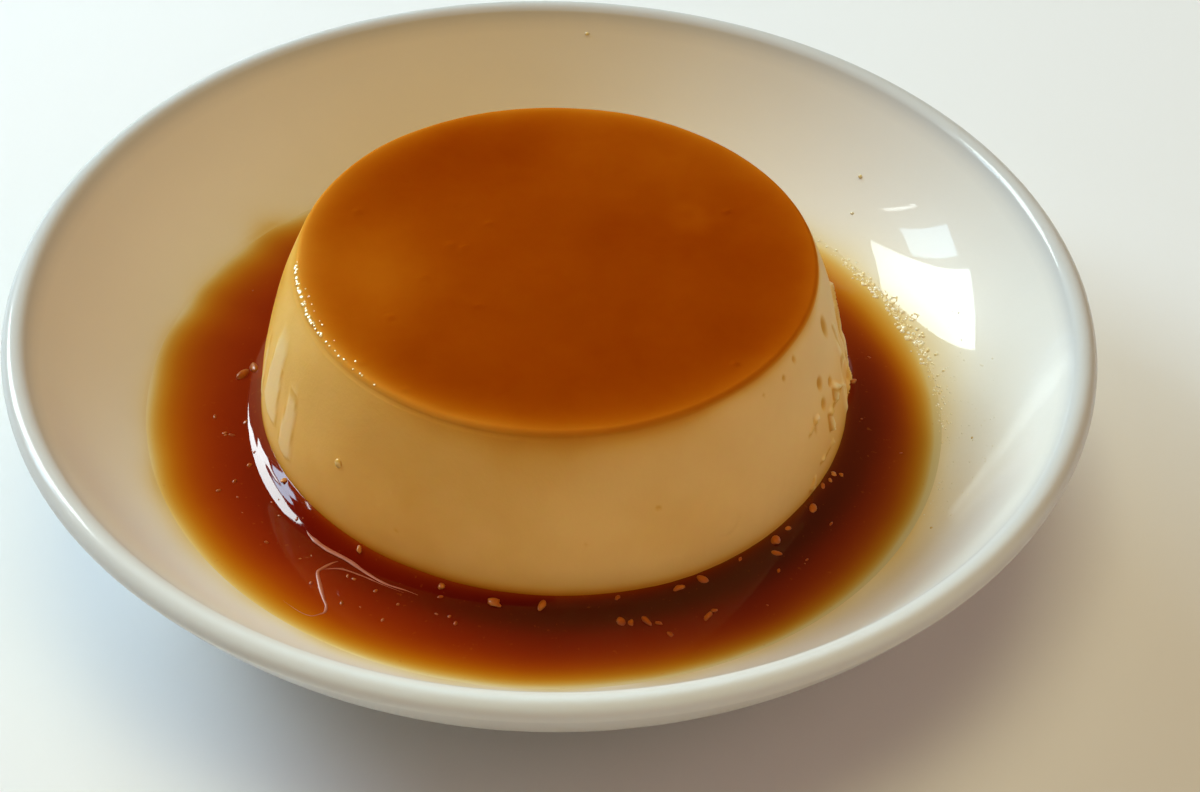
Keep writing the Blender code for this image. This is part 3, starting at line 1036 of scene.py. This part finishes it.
# %% Sauce: the ramp
END_SLOPE = 0.41
STEEPER_END = 0.08
STEEPER_END_TURNS = (-22.0, -5.0)
STEEPENS = 0.075 / MM
STEEPENS_MORE = 0.06 / MM
STEEPENS_MORE_TURNS = (-44.0, -18.0)
RAMP_END = 3.3 * MM
BEND = 0.16 * MM
WIDEST_AT = (1.0, -150.0, 50.0)


def flan_reach(angle):
    """How far from the bowl's axis the flan's side is, at the sauce's level."""
    off_axis = FLAN_X * np.cos(angle) + FLAN_Y * np.sin(angle)
    return flan_radius(SAUCE_LEVEL) + flan_swell(angle) + off_axis


def ramp_shape(away, angle):
    """Height of the ramp at a distance from the flan. Inside its end it is a parabola, so that the
    slope grows evenly inwards; a softplus in place of the distance makes the end a soft bend. It gets
    steeper from the left towards the back."""
    inside = BEND * np.log1p(np.exp((RAMP_END - away) / BEND))
    past_left = -np.degrees(turned_by(angle, 180.0))
    end_slope = END_SLOPE + STEEPER_END * smooth_step(past_left, *STEEPER_END_TURNS)
    steepens = STEEPENS + STEEPENS_MORE * smooth_step(past_left, *STEEPENS_MORE_TURNS)
    return end_slope * inside + 0.5 * steepens * inside ** 2


RAMP_AT_LEFT = ramp_shape(0.0, math.radians(WIDEST_AT[1]))
print(f"the ramp is {RAMP_AT_LEFT / MM:.1f} mm high at the front left")

# %% Sauce: the surface
SAUCE_COLUMNS = 600
SAUCE_ROWS = 120
ROWS_CROWD = 1.6
UNDER_ROWS = 14
OVERLAP = 0.5 * MM
TUCK = 0.4 * MM
LEVEL_SHIFTS = ((0.9, 15.0, 70.0), (-1.0, -150.0, 50.0))
SHIFT_REACH = 9.0 * MM
CONTACT_DROP = (0.5, -45.0, 50.0)
STRETCH = 0.6
STRETCH_AT = (0.45, -140.0, 27.0)
WALL_REACH = 1.0 * MM
FOLD_HEIGHT = 0.02
FOLD_AWAY = 1.5 * MM
FOLD_WANDER = (0.3 * MM, 9.0 * MM, 63)
FOLD_LINE = 0.25 * MM
SLOW_RIPPLES = (0.015, 14.0 * MM, 61)
NEAR_RIPPLES = (0.012, 3.2 * MM, 62)
NEAR_REACH = 2.5 * MM


def pool_height(radius, angle, touch, edge):
    """The pool's plane, its ramp at the flan, its small rise at the wall, and a hint of ripples. The
    ramp is as high as its own shape at the front left, and just reaches the contact line elsewhere."""
    widest = bells(angle, WIDEST_AT)
    away = np.maximum(radius - touch, 0.0)
    shift = bells(angle, *LEVEL_SHIFTS) * MM
    contact = SAUCE_LEVEL - bells(angle, CONTACT_DROP) * MM - shift - pool_level(touch, angle)
    stretch = STRETCH + bells(angle, STRETCH_AT)
    full = ramp_shape(0.0, angle)
    climb = (1.0 - widest) * contact + widest * stretch * full
    height = pool_level(radius, angle) + shift * bell(away, SHIFT_REACH)
    height += climb * ramp_shape(away / stretch, angle) / full
    height += RISE_AT_WALL * np.exp(-np.maximum(edge - radius, 0.0) / WALL_REACH)
    flat = polar(radius, angle)
    fold = FOLD_HEIGHT * widest * bell(away - FOLD_AWAY - soft_noise(flat, *FOLD_WANDER), FOLD_LINE)
    ripples = soft_noise(flat, *SLOW_RIPPLES) + np.exp(-away / NEAR_REACH) * soft_noise(flat, *NEAR_RIPPLES)
    return height + (ripples + fold) * MM


def sauce_skin():
    """The pool's skin: rows from the flan out over the top, then back below. The outermost rows run a
    little way into the wall, so that the visible edge is where the two surfaces cross."""
    angle = np.arange(SAUCE_COLUMNS) * (math.tau / SAUCE_COLUMNS)
    touch = flan_reach(angle)
    edge = pool_edge(angle)
    inner = touch - OVERLAP
    outer = edge + TUCK
    radius = inner + (outer - inner) * np.linspace(0.0, 1.0, SAUCE_ROWS)[:, None] ** ROWS_CROWD
    top = polar(radius, angle, pool_height(radius, angle, touch, edge))
    under_radius = inner + (outer - inner) * np.linspace(1.0, 0.0, UNDER_ROWS)[1:, None]
    under = polar(under_radius, angle, wall_height(under_radius) - TUCK)
    grid = np.concatenate([top, under])
    ring = np.arange(SAUCE_COLUMNS)
    start = (len(grid) - 1) * SAUCE_COLUMNS
    close = np.stack([start + ring, ring, np.roll(ring, -1), start + np.roll(ring, -1)], axis=-1)
    return grid.reshape(-1, 3), [ring_faces(len(grid), SAUCE_COLUMNS), close]


sauce_points, sauce_faces = sauce_skin()
print(f"the pool's top is {sauce_points[:, 2].max() / MM:.1f} mm up at its highest")

# %% [markdown]
# ### How deep the syrup looks
#
# The eye sees the glaze through the syrup, so the colour follows the depth, with three corrections. The
# flan's pale foot slopes outwards under the sauce and shows through beside the flan. The flan shades
# what lies in front of it. And the sauce isn't equally strong everywhere. Depths are in millimetres.

# %% Sauce: depth and shade
STRENGTH = 1.1
STRENGTH_BELLS = ((0.6, -60.0, 60.0), (0.2, -4.0, 16.0))
STRENGTH_NOISE = (0.06, 26.0 * MM, 72)
THINNER = (0.4, 20.0, 24.0)
SKIRT_START = 0.35
SKIRT_SHIFTS = ((-0.2, -150.0, 50.0), (0.9, -172.0, 24.0), (0.35, -120.0, 40.0))
SKIRT_WIDTH = 0.9
SKIRT_WIDER = (0.6, -75.0, 60.0)
SKIRT_SHOWS = 0.8
NO_SKIRT = (0.7, -172.0, 24.0)
DEEPER_RIGHT = (0.5, -5.0, 20.0)
DEEPER_FRONT = (0.5, -75.0, 45.0)
SHADE_FRONT = (0.65, -70.0, 55.0)
SHADE_RIGHT = (1.0, -32.0, 45.0)
SHADE_UNDER = 0.35
SHADE_ENDS_AT = (-15.0, 8.0)


def sauce_depth(points):
    """What the syrup's colour needs: the depth of syrup in millimetres, how far the flan's sloping
    foot shows through it, and how much the flan's shade takes."""
    radius, angle = unwound(points)
    edge = pool_edge(angle)
    brown = brown_edge(angle)
    away = np.maximum(radius - flan_reach(angle), 0.0) / MM
    shifted = radius + edge - brown
    depth = np.maximum(wall_height(edge) - wall_height(shifted), 0.0) / MM
    depth *= (STRENGTH + bells(angle, *STRENGTH_BELLS)) * (1.0 + soft_noise(points, *STRENGTH_NOISE))
    beyond = np.maximum(away + SKIRT_START + bells(angle, *SKIRT_SHIFTS), 0.0)
    depth *= 1.0 - np.exp(-beyond / (SKIRT_WIDTH + bells(angle, SKIRT_WIDER)))
    depth *= 1.0 - bells(angle, THINNER) * smooth_step(shifted, edge - 9.0 * MM, edge - 2.5 * MM)
    depth += film_depth(radius, angle)
    depth += bells(angle, DEEPER_RIGHT) * (1.0 - smooth_step(away, 6.0, 12.0))
    depth += bells(angle, DEEPER_FRONT) * bell(away - 2.5, 2.5)

    past_right = smooth_step(np.degrees(turned_by(angle, 0.0)), *SHADE_ENDS_AT)
    at_edge = smooth_step(radius, brown - 6.5 * MM, brown - 1.5 * MM)
    shade = bells(angle, SHADE_RIGHT) * (0.25 + 0.5 * np.exp(-away / 8.0)) * (1.0 - past_right * at_edge)
    shade += bells(angle, SHADE_FRONT) * bell(away - 3.5, 3.0)
    shade += SHADE_UNDER * (1.0 - past_right) * np.exp(-away / 1.2)
    return depth, np.exp(-away / SKIRT_SHOWS) * (1.0 - bells(angle, NO_SKIRT)), shade


sauce_deep, sauce_skirt, sauce_shade = sauce_depth(sauce_points)
print(f"the syrup looks up to {sauce_deep.max():.1f} mm deep")

# %% Sauce: finish and mesh
FLAN_SHADE_TAKES = (1.0, 0.85, 0.8)


def syrup_finish():
    """Clear brown syrup: glassy on top, coloured by its depth over the glaze."""
    syrup = Finish("caramel_syrup", roughness=0.05, ior=1.42, specular_ior_level=0.5)
    cloud = syrup.noise(60.0, 3.0, 0.5, 0.6)
    speck = syrup.noise(1300.0, 2.0, 0.5)
    depth = syrup.attribute("depth") * (0.93 + cloud * 0.14)
    below = syrup.mix(syrup.attribute("skirt"), GLAZE_COLOUR, colour(236, 182, 98))
    base = syrup.tinted(below, syrup.through(depth, SYRUP_TAKES))
    base = syrup.tinted(base, syrup.through(syrup.attribute("shade"), FLAN_SHADE_TAKES))
    base = syrup.mix(speck.step(0.66, 0.78) * 0.2, base, colour(170, 90, 30))
    return syrup.paint(base_color=base, normal=syrup.bump(cloud, 0.02 * MM))


depths = {"depth": sauce_deep, "skirt": sauce_skirt, "shade": sauce_shade}
pool = make_piece("caramel_pool", sauce_points, sauce_faces, syrup_finish(), **depths)
serve(pool, "caramel_sauce", "caramel_sauce")

# %% [markdown]
# ## Crumbs and flecks
#
# Turning a flan out tears small bits off it, and they float in the syrup, half sunk and browned by it.
# Each is a ball, flattened and dented. One helper makes all the blobs of a kind as one mesh. The larger
# crumbs lie where they would collect, against the flan's foot. The flecks are scattered by a fixed seed.

# %% Crumbs and flecks
# Crumbs: direction in degrees, millimetres from the flan, size, and depth of the syrup on them.
CRUMBS = (
    (-99.0, 1.7, 2.2, 0.9), (-91.0, 1.6, 2.2, 0.9), (-78.0, 0.8, 1.1, 1.2), (-67.0, 1.4, 1.5, 1.0),
    (-62.5, 1.5, 1.9, 1.2), (-78.5, 5.5, 1.7, 1.3), (-77.0, 5.9, 1.5, 1.3), (-74.5, 6.1, 1.9, 1.3),
    (-73.0, 6.9, 1.2, 1.3), (-65.5, 8.1, 1.9, 1.2), (-64.0, 7.4, 1.2, 1.2), (-72.0, 9.4, 1.1, 1.3),
    (-42.0, 1.2, 1.2, 0.8), (-46.0, 1.5, 1.8, 1.0), (-48.0, 3.3, 1.6, 1.2), (-35.0, 1.5, 1.5, 0.9),
    (-25.0, 0.9, 1.2, 0.2), (1.5, 1.3, 1.7, 0.3), (-24.5, 2.1, 1.0, 0.9), (-26.8, 1.0, 1.0, 0.5),
    (-29.0, 0.6, 1.1, 0.8), (176.0, 1.9, 2.6, 0.9), (178.5, 3.6, 2.4, 1.0), (14.0, 0.5, 1.1, 0.3),
    (-149.0, 0.5, 1.5, 0.3), (-126.0, 0.7, 1.6, 0.5), (-109.0, 1.0, 1.1, 0.8), (-54.0, 1.0, 1.0, 0.9),
)


def afloat(angle, radius):
    """Points on the pool's surface at these directions and radii."""
    return polar(radius, angle, pool_height(radius, angle, flan_reach(angle), pool_edge(angle)))


def on_syrup_or_wall(angle, radius):
    """Points on whichever is higher: the pool's surface, or the wall beyond its edge."""
    points = afloat(angle, radius)
    points[:, 2] = np.maximum(points[:, 2], wall_height(radius))
    return points


def flat_axes(draw, lengths, widths, heights):
    """Axes of blobs that lie flat, each turned by a random angle."""
    turn = draw.uniform(0.0, math.tau, len(lengths))
    flat = [polar(lengths, turn), polar(widths, turn + math.pi / 2.0)]
    return np.stack([*flat, polar(0.0, turn, heights)], axis=1)


def crumb_finish():
    """Custard crumb under a skin of syrup as deep as the piece says."""
    crumb = Finish("custard_crumb", roughness=0.3, subsurface_weight=0.2, subsurface_scale=0.6 * MM)
    cloud = crumb.noise(900.0, 3.0)
    custard = crumb.mix(cloud.step(0.35, 0.7), colour(224, 170, 124), colour(206, 138, 96))
    base = crumb.tinted(custard, crumb.through(crumb.attribute("sunk"), CARAMEL_TAKES))
    return crumb.paint(base_color=base, normal=crumb.bump(cloud, 0.06 * MM))


CRUMB_FINISH = crumb_finish()
CRUMB_DENTS = 0.13
LEAST_SUNK = 0.35


def scatter(name, angle, radius, size, sunk, seed):
    """Make one mesh of crumbs of these sizes, floating low in the pool."""
    draw = np.random.default_rng(seed)
    count = len(angle)
    axes = flat_axes(draw, 0.5 * size, 0.5 * size * draw.uniform(0.45, 0.8, count), 0.2 * size)
    centres = afloat(angle, radius) - (0.0, 0.0, 0.02 * MM)
    points, faces = blobs(centres, axes, 7, 14, CRUMB_DENTS, seed)
    sunk = np.repeat(sunk + LEAST_SUNK, len(points) // count)
    serve(make_piece(name, points, faces, CRUMB_FINISH, sunk=sunk), "custard")


crumb_angle, crumb_out, crumb_size, crumb_sunk = np.array(CRUMBS).T
crumb_angle = np.radians(crumb_angle)
crumb_radius = flan_reach(crumb_angle) + crumb_out * MM
scatter("crumbs", crumb_angle, crumb_radius, crumb_size * MM, crumb_sunk, 81)

FLECK_SPANS = ((-176.0, -104.0, 32), (-60.0, 30.0, 8), (30.0, 180.0, 6))
FLECKS = sum(count for _, _, count in FLECK_SPANS)
fleck_draw = np.random.default_rng(82)
fleck_angle = np.radians(np.concatenate([fleck_draw.uniform(*span) for span in FLECK_SPANS]))
fleck_radius = flan_reach(fleck_angle) + fleck_draw.uniform(1.5, 11.0, FLECKS) * MM
fleck_size = fleck_draw.uniform(0.35, 0.95, FLECKS) * MM
fleck_sunk = fleck_draw.uniform(1.1, 1.6, FLECKS)
scatter("flecks", fleck_angle, fleck_radius, fleck_size, fleck_sunk, 83)

# %% [markdown]
# ## Froth and beads
#
# Pouring whipped air into the syrup. The froth has drifted to the right-hand edge as a chain of tiny
# bubbles, and a few beads of syrup sit along the flan's left edge and on the glaze. All are glossy
# blobs again. The beads on the edge are shallow and all tip the same way, so that each catches the
# window: a mirror shows a light when it faces halfway between the light and the eye.

# %% Froth
def bead_finish(name, tint, sunk, roughness=0.08, coat_weight=1.0):
    """Clear syrup over something pale: glossy, with a colour set by the depth of syrup."""
    bead = Finish(name, roughness=roughness, coat_weight=coat_weight, coat_roughness=0.1)
    cloud = bead.noise(800.0, 2.0)
    base = bead.tinted(tint, bead.through(cloud.step(0.35, 0.65) * sunk, SYRUP_TAKES))
    return bead.paint(base_color=base)


BUBBLES = 420
CHAIN = (-14.0, 58.0)
CHAIN_WIDTH = 0.65
CHAIN_LEAVES = (0.0, 22.0)
FATTEST_AT = (18.0, 15.0)
BUBBLE_RINGS = ((22.0, 60.8), (16.8, 61.9))
RING_BUBBLES = 10
RING_SIZE = 0.62 * MM

froth_draw = np.random.default_rng(91)
froth_degrees = CHAIN[0] + CHAIN[1] * froth_draw.beta(1.7, 1.7, BUBBLES)
froth_out = 0.5 - smooth_step(froth_degrees, *CHAIN_LEAVES) + froth_draw.normal(0.0, CHAIN_WIDTH, BUBBLES)
froth_angle = np.radians(froth_degrees)
froth_places = [polar(pool_edge(froth_angle) + froth_out * MM, froth_angle)]
froth_size = 0.10 + 0.28 * froth_draw.uniform(0.0, 1.0, BUBBLES) ** 3
froth_size *= 0.55 + 0.75 * bell(froth_degrees - FATTEST_AT[0], FATTEST_AT[1])
ring_turn = np.arange(RING_BUBBLES) * (math.tau / RING_BUBBLES)
for degrees, ring_radius in BUBBLE_RINGS:
    froth_places.append(polar(ring_radius * MM, math.radians(degrees)) + polar(RING_SIZE, ring_turn))
    froth_size = np.concatenate([froth_size, froth_draw.uniform(0.16, 0.3, RING_BUBBLES)])
froth_axes = flat_axes(froth_draw, froth_size * MM, froth_size * MM, 0.75 * froth_size * MM)
froth_radius, froth_turn = unwound(np.concatenate(froth_places))
froth_points, froth_faces = blobs(on_syrup_or_wall(froth_turn, froth_radius), froth_axes, 4, 8)
froth_finish = bead_finish("froth", colour(255, 250, 228), 0.28)
serve(make_piece("froth", froth_points, froth_faces, froth_finish), "caramel_sauce")

# %% Beads on the flan's edge
BEAD_START = -177.0
BEAD_THINS = -149.0
BEAD_END = -131.0
BEADS = 76
THIN_BEADS = 12
INNER_SHARE = 0.14
WINDOW_DIRECTION = Vector((-0.678, 0.493, 0.545))
EDGE_TILT = math.radians(31.0)
SIDE_BEAD = (-134.9, 26.5)
SIDE_BEAD_SIZE = (0.45, 0.65, 0.85)

bead_draw = np.random.default_rng(95)
bead_angle = np.radians(np.concatenate([
    bead_draw.uniform(BEAD_START, BEAD_THINS, BEADS - THIN_BEADS),
    np.linspace(BEAD_THINS, BEAD_END, THIN_BEADS) + bead_draw.normal(0.0, 0.5, THIN_BEADS),
]))
bead_radius = EDGE_START + flan_swell(bead_angle) + FLAN_EDGE_RADIUS * math.sin(EDGE_TILT)
bead_radius += bead_draw.normal(0.0, 0.10, BEADS) * MM
inner_row = bead_draw.uniform(0.0, 1.0, BEADS) < INNER_SHARE
bead_radius -= 1.1 * MM * inner_row
on_curve = TOP_LEVEL - FLAN_EDGE_RADIUS * (1.0 - math.cos(EDGE_TILT))
bead_height = np.where(inner_row, TOP_LEVEL + 0.02 * MM, on_curve)
bead_centres = polar(bead_radius, bead_angle, bead_height) + FLAN_AT

bead_up = WINDOW_DIRECTION + (eye - Vector(bead_centres.mean(axis=0))).normalized()
bead_up = np.array(bead_up.normalized())
bead_along = polar(1.0, bead_angle + math.pi / 2.0)
bead_along -= (bead_along @ bead_up)[:, None] * bead_up
bead_along /= np.linalg.norm(bead_along, axis=1, keepdims=True)
bead_size = bead_draw.uniform(0.14, 0.36, BEADS) * MM
full_size = 1.15 - 0.45 * smooth_step(np.degrees(bead_angle), -158.0, -146.0)
bead_size = bead_size * np.where(inner_row, 0.6, full_size)
bead_axes = np.stack([
    bead_along * (bead_size * bead_draw.uniform(0.8, 1.35, BEADS))[:, None],
    np.cross(bead_up, bead_along) * bead_size[:, None],
    bead_up * (0.32 * bead_size)[:, None],
], axis=1)

side_turn = math.radians(SIDE_BEAD[0])
side_height = SIDE_BEAD[1] * MM
side_centre = polar(flan_radius(side_height), side_turn, side_height) + FLAN_AT
side_axes = np.stack([polar(1.0, side_turn), polar(1.0, side_turn + math.pi / 2.0), (0.0, 0.0, 1.0)])
side_axes *= np.array(SIDE_BEAD_SIZE)[:, None] * MM
bead_centres = np.concatenate([bead_centres, side_centre[None]])
bead_axes = np.concatenate([bead_axes, side_axes[None]])
bead_points, bead_faces = blobs(bead_centres, bead_axes, 7, 12)
edge_bead_finish = bead_finish("edge_beads", colour(240, 205, 130), 0.4)
serve(make_piece("edge_beads", bead_points, bead_faces, edge_bead_finish), "caramel_sauce")

# %% Drops on the glaze
# Drops: direction in degrees, then radius and half length in millimetres.
DROPS = ((42.0, 70.5, 0.5), (39.5, 66.0, 0.35), (86.0, 77.0, 0.45), (-30.0, 65.0, 0.25), (-12.0, 66.0, 0.25))
SPRAY = 90


def drops_on_wall(name, degrees, radius, size, finish, seed):
    """Low oval drops on the wall, at these directions, radii and half lengths in millimetres."""
    centres = polar(radius * MM, np.radians(degrees), wall_height(radius * MM))
    axes = flat_axes(np.random.default_rng(seed), size * MM, 0.8 * size * MM, 0.6 * size * MM)
    serve(make_piece(name, *blobs(centres, axes, 5, 10), finish), "caramel_sauce")


drops_on_wall("wall_drops", *np.array(DROPS).T, bead_finish("wall_drops", colour(226, 214, 180), 0.4), 97)
spray_draw = np.random.default_rng(93)
spray_angle = spray_draw.uniform(-28.0, 14.0, SPRAY)
spray_radius = 62.6 + 7.0 * spray_draw.uniform(0.0, 1.0, SPRAY) ** 1.5
spray_size = spray_draw.uniform(0.08, 0.17, SPRAY)
spray_finish = bead_finish("wall_spray", colour(246, 241, 224), 0.1)
drops_on_wall("wall_spray", spray_angle, spray_radius, spray_size, spray_finish, 94)

# %% [markdown]
# ## Trailing threads
#
# Pinkish threads run from the flan's foot over the ramp, and one curls round and runs out towards the
# wall. They are painted reflections of what the ramp and pool mirror, shaped as threads of frothy syrup.
# Each is a low half-round profile carried along a curve. A Catmull-Rom spline turns a few points into the
# curve: between two points it blends the four around them, so that it passes through each.

# %% Threads
# Threads, painted reflections: half width, then corners as (x, y), in millimetres.
REFLECTION_THREADS = (
    (0.26, (
        (-30.5, -39.4), (-31.3, -39.8), (-32.5, -40.9), (-33.2, -42.0), (-32.6, -44.8), (-31.9, -47.3),
        (-31.4, -48.7), (-31.5, -50.0), (-32.3, -50.5), (-33.4, -50.8), (-35.1, -50.0), (-37.5, -48.0),
    )),
    (0.40, (
        (-35.6, -33.3), (-34.5, -34.8), (-32.3, -36.9), (-28.9, -39.3), (-26.3, -41.6), (-23.4, -43.8),
        (-20.4, -45.1), (-18.6, -46.0),
    )),
    (0.13, ((-32.4, -41.2), (-30.0, -41.0), (-27.0, -42.2), (-23.8, -44.0), (-20.6, -45.6))),
)
THREAD_RISE = 0.10 * MM
PER_SPAN = 14
THREAD_COLUMNS = 10


def smooth_path(corners):
    """Catmull-Rom curve through the corners, with the same number of points between each pair."""
    line = np.concatenate([corners[:1], corners, corners[-1:]])
    share = np.linspace(0.0, 1.0, PER_SPAN, endpoint=False)[None, :, None]
    first, second, third, fourth = (line[k:len(line) - 3 + k, None, :] for k in range(4))
    curve = second + 0.5 * share * (third - first)
    curve = curve + share ** 2 * (first - 2.5 * second + 2.0 * third - 0.5 * fourth)
    curve = curve + share ** 3 * (1.5 * (second - third) + 0.5 * (fourth - first))
    return np.concatenate([curve.reshape(-1, 2), corners[-1:]])


def thread_skin(corners, widest, seed):
    """The thread: at each point of its path a flattened ring, tapering to both ends."""
    path = smooth_path(np.array(corners) * MM)
    ahead = np.gradient(path, axis=0)
    ahead /= np.linalg.norm(ahead, axis=1, keepdims=True)
    across = np.stack([-ahead[:, 1], ahead[:, 0]], axis=-1)
    share = np.linspace(0.0, 1.0, len(path))
    width = widest * (1.0 + soft_noise(polar(share, 0.0), 0.3, 0.12, seed))
    width = width * np.clip(6.0 * share, 0.12, 1.0) * np.clip(1.5 * (1.0 - share), 0.08, 1.0)
    turn = np.arange(THREAD_COLUMNS) * (math.tau / THREAD_COLUMNS)
    radius, angle = unwound(path)
    base = afloat(angle, radius)[:, 2]
    flat = path[:, None, :] + across[:, None, :] * (width[:, None] * np.cos(turn))[..., None]
    height = base[:, None] + THREAD_RISE * (width / widest)[:, None] * np.sin(turn)
    grid = np.concatenate([flat, height[..., None]], axis=-1)[:, ::-1]
    ends = np.stack([grid[0].mean(axis=0), grid[-1].mean(axis=0)])
    return np.concatenate([grid.reshape(-1, 3), ends]), closed_faces(len(path), THREAD_COLUMNS)


thread_points = np.empty((0, 3))
thread_faces = []
for number, (width, corners) in enumerate(REFLECTION_THREADS):
    points, faces = thread_skin(corners, width * MM, 98 + number)
    thread_faces += [block + len(thread_points) for block in faces]
    thread_points = np.concatenate([thread_points, points])
# Painted reflection: the threads' pinkish colour stands in for what the ramp and pool mirror.
thread_finish = bead_finish("painted_reflection_thread", colour(166, 92, 68), 0.3, roughness=0.4, coat_weight=0.15)
serve(make_piece("painted_reflection_thread", thread_points, thread_faces, thread_finish), "caramel_sauce")

# %% [markdown]
# ## The stage
#
# A plain pale floor in a dim, warm room. Soft lights that only light what they reach stand at the back
# left, the front, the right and overhead. The window that the glaze, the syrup's ramp and the beads
# mirror is apart from them: two panes, a strip of frame and the wall round it, which only glossy
# surfaces see. That way the mirrored shapes and the light on the food can be set one by one.

# %% Floor
def floor_finish():
    """Matt off-white paint."""
    paint = Finish("floor_paint", roughness=0.9, specular_ior_level=0.1)
    cloud = paint.noise(4.0, 2.0)
    return paint.paint(base_color=paint.mix(cloud, colour(236, 235, 233), colour(240, 239, 237)))


FLOOR_HALF = 3.0
floor_points = FLOOR_HALF * np.array([(-1.0, -1.0, 0.0), (1.0, -1.0, 0.0), (1.0, 1.0, 0.0), (-1.0, 1.0, 0.0)])
floor = make_piece("floor", floor_points, [np.array([[0, 1, 2, 3]])], floor_finish())

# %% Lights
def softbox(name, azimuth, elevation, distance, width, height, power, tint, mirrored=False):
    """A rectangle of light at a direction from the bowl's middle, facing it. A mirrored one is only
    seen in glossy surfaces; any other only lights what it reaches."""
    data = bpy.data.lights.new(name, "AREA")
    data.shape = "RECTANGLE"
    data.size = width
    data.size_y = height
    data.energy = power
    data.color = tint
    lamp = bpy.data.objects.new(name, data)
    bpy.context.scene.collection.objects.link(lamp)
    turn = math.radians(azimuth)
    rise = math.radians(elevation)
    direction = Vector((math.cos(turn) * math.cos(rise), math.sin(turn) * math.cos(rise), math.sin(rise)))
    lamp.location = RIM_CENTRE + distance * direction
    lamp.rotation_mode = "QUATERNION"
    lamp.rotation_quaternion = (-direction).to_track_quat("-Z", "Y")
    lamp.visible_glossy = mirrored
    lamp.visible_diffuse = not mirrored


# Each row: name, azimuth and elevation in degrees, distance, width and height in metres, power, tint.
LIT = (
    ("window_light", 150.0, 32.0, 1.0, 0.50, 0.40, 6.2, (0.74, 1.0, 1.24)),
    ("front_fill", -80.0, 30.0, 1.8, 1.00, 0.60, 2.9, (0.93, 1.02, 0.92)),
    ("bright_wall", 120.0, 22.0, 1.4, 0.90, 0.40, 11.0, (0.68, 1.0, 1.18)),
    ("ceiling", 90.0, 86.0, 2.0, 1.20, 1.20, 16.0, (1.04, 0.96, 0.59)),
    ("warm_room", -20.0, 45.0, 2.0, 1.60, 1.00, 4.5, (1.0, 0.65, 0.6)),
)
MIRRORED = (
    ("white_pane", 140.5, 34.8, 1.4, 0.42, 0.70, 18.1, (0.85, 1.0, 1.0)),
    ("blue_pane", 157.0, 30.5, 1.4, 0.18, 0.36, 2.6, (0.60, 0.88, 1.10)),
    ("window_frame", 168.0, 34.0, 1.4, 0.02, 0.24, 0.25, (0.9, 1.0, 1.0)),
    ("dim_wall", 90.0, 45.0, 2.0, 2.40, 1.60, 1.3, (1.0, 1.0, 0.25)),
)
for row in LIT:
    softbox(*row)
for row in MIRRORED:
    softbox(*row, mirrored=True)
print(f"{len(LIT)} lights on the food and {len(MIRRORED)} that are only mirrored")

ROOM_COLOUR = (1.0, 0.4, 0.25, 1.0)
ROOM_STRENGTH = 0.08


def studio_world():
    """A dim, warm, even room."""
    world = bpy.data.worlds.new("studio")
    world.use_nodes = True
    background = world.node_tree.nodes["Background"]
    background.inputs["Color"].default_value = ROOM_COLOUR
    background.inputs["Strength"].default_value = ROOM_STRENGTH
    return world


bpy.context.scene.world = studio_world()
bpy.context.scene.view_settings.view_transform = "Standard"
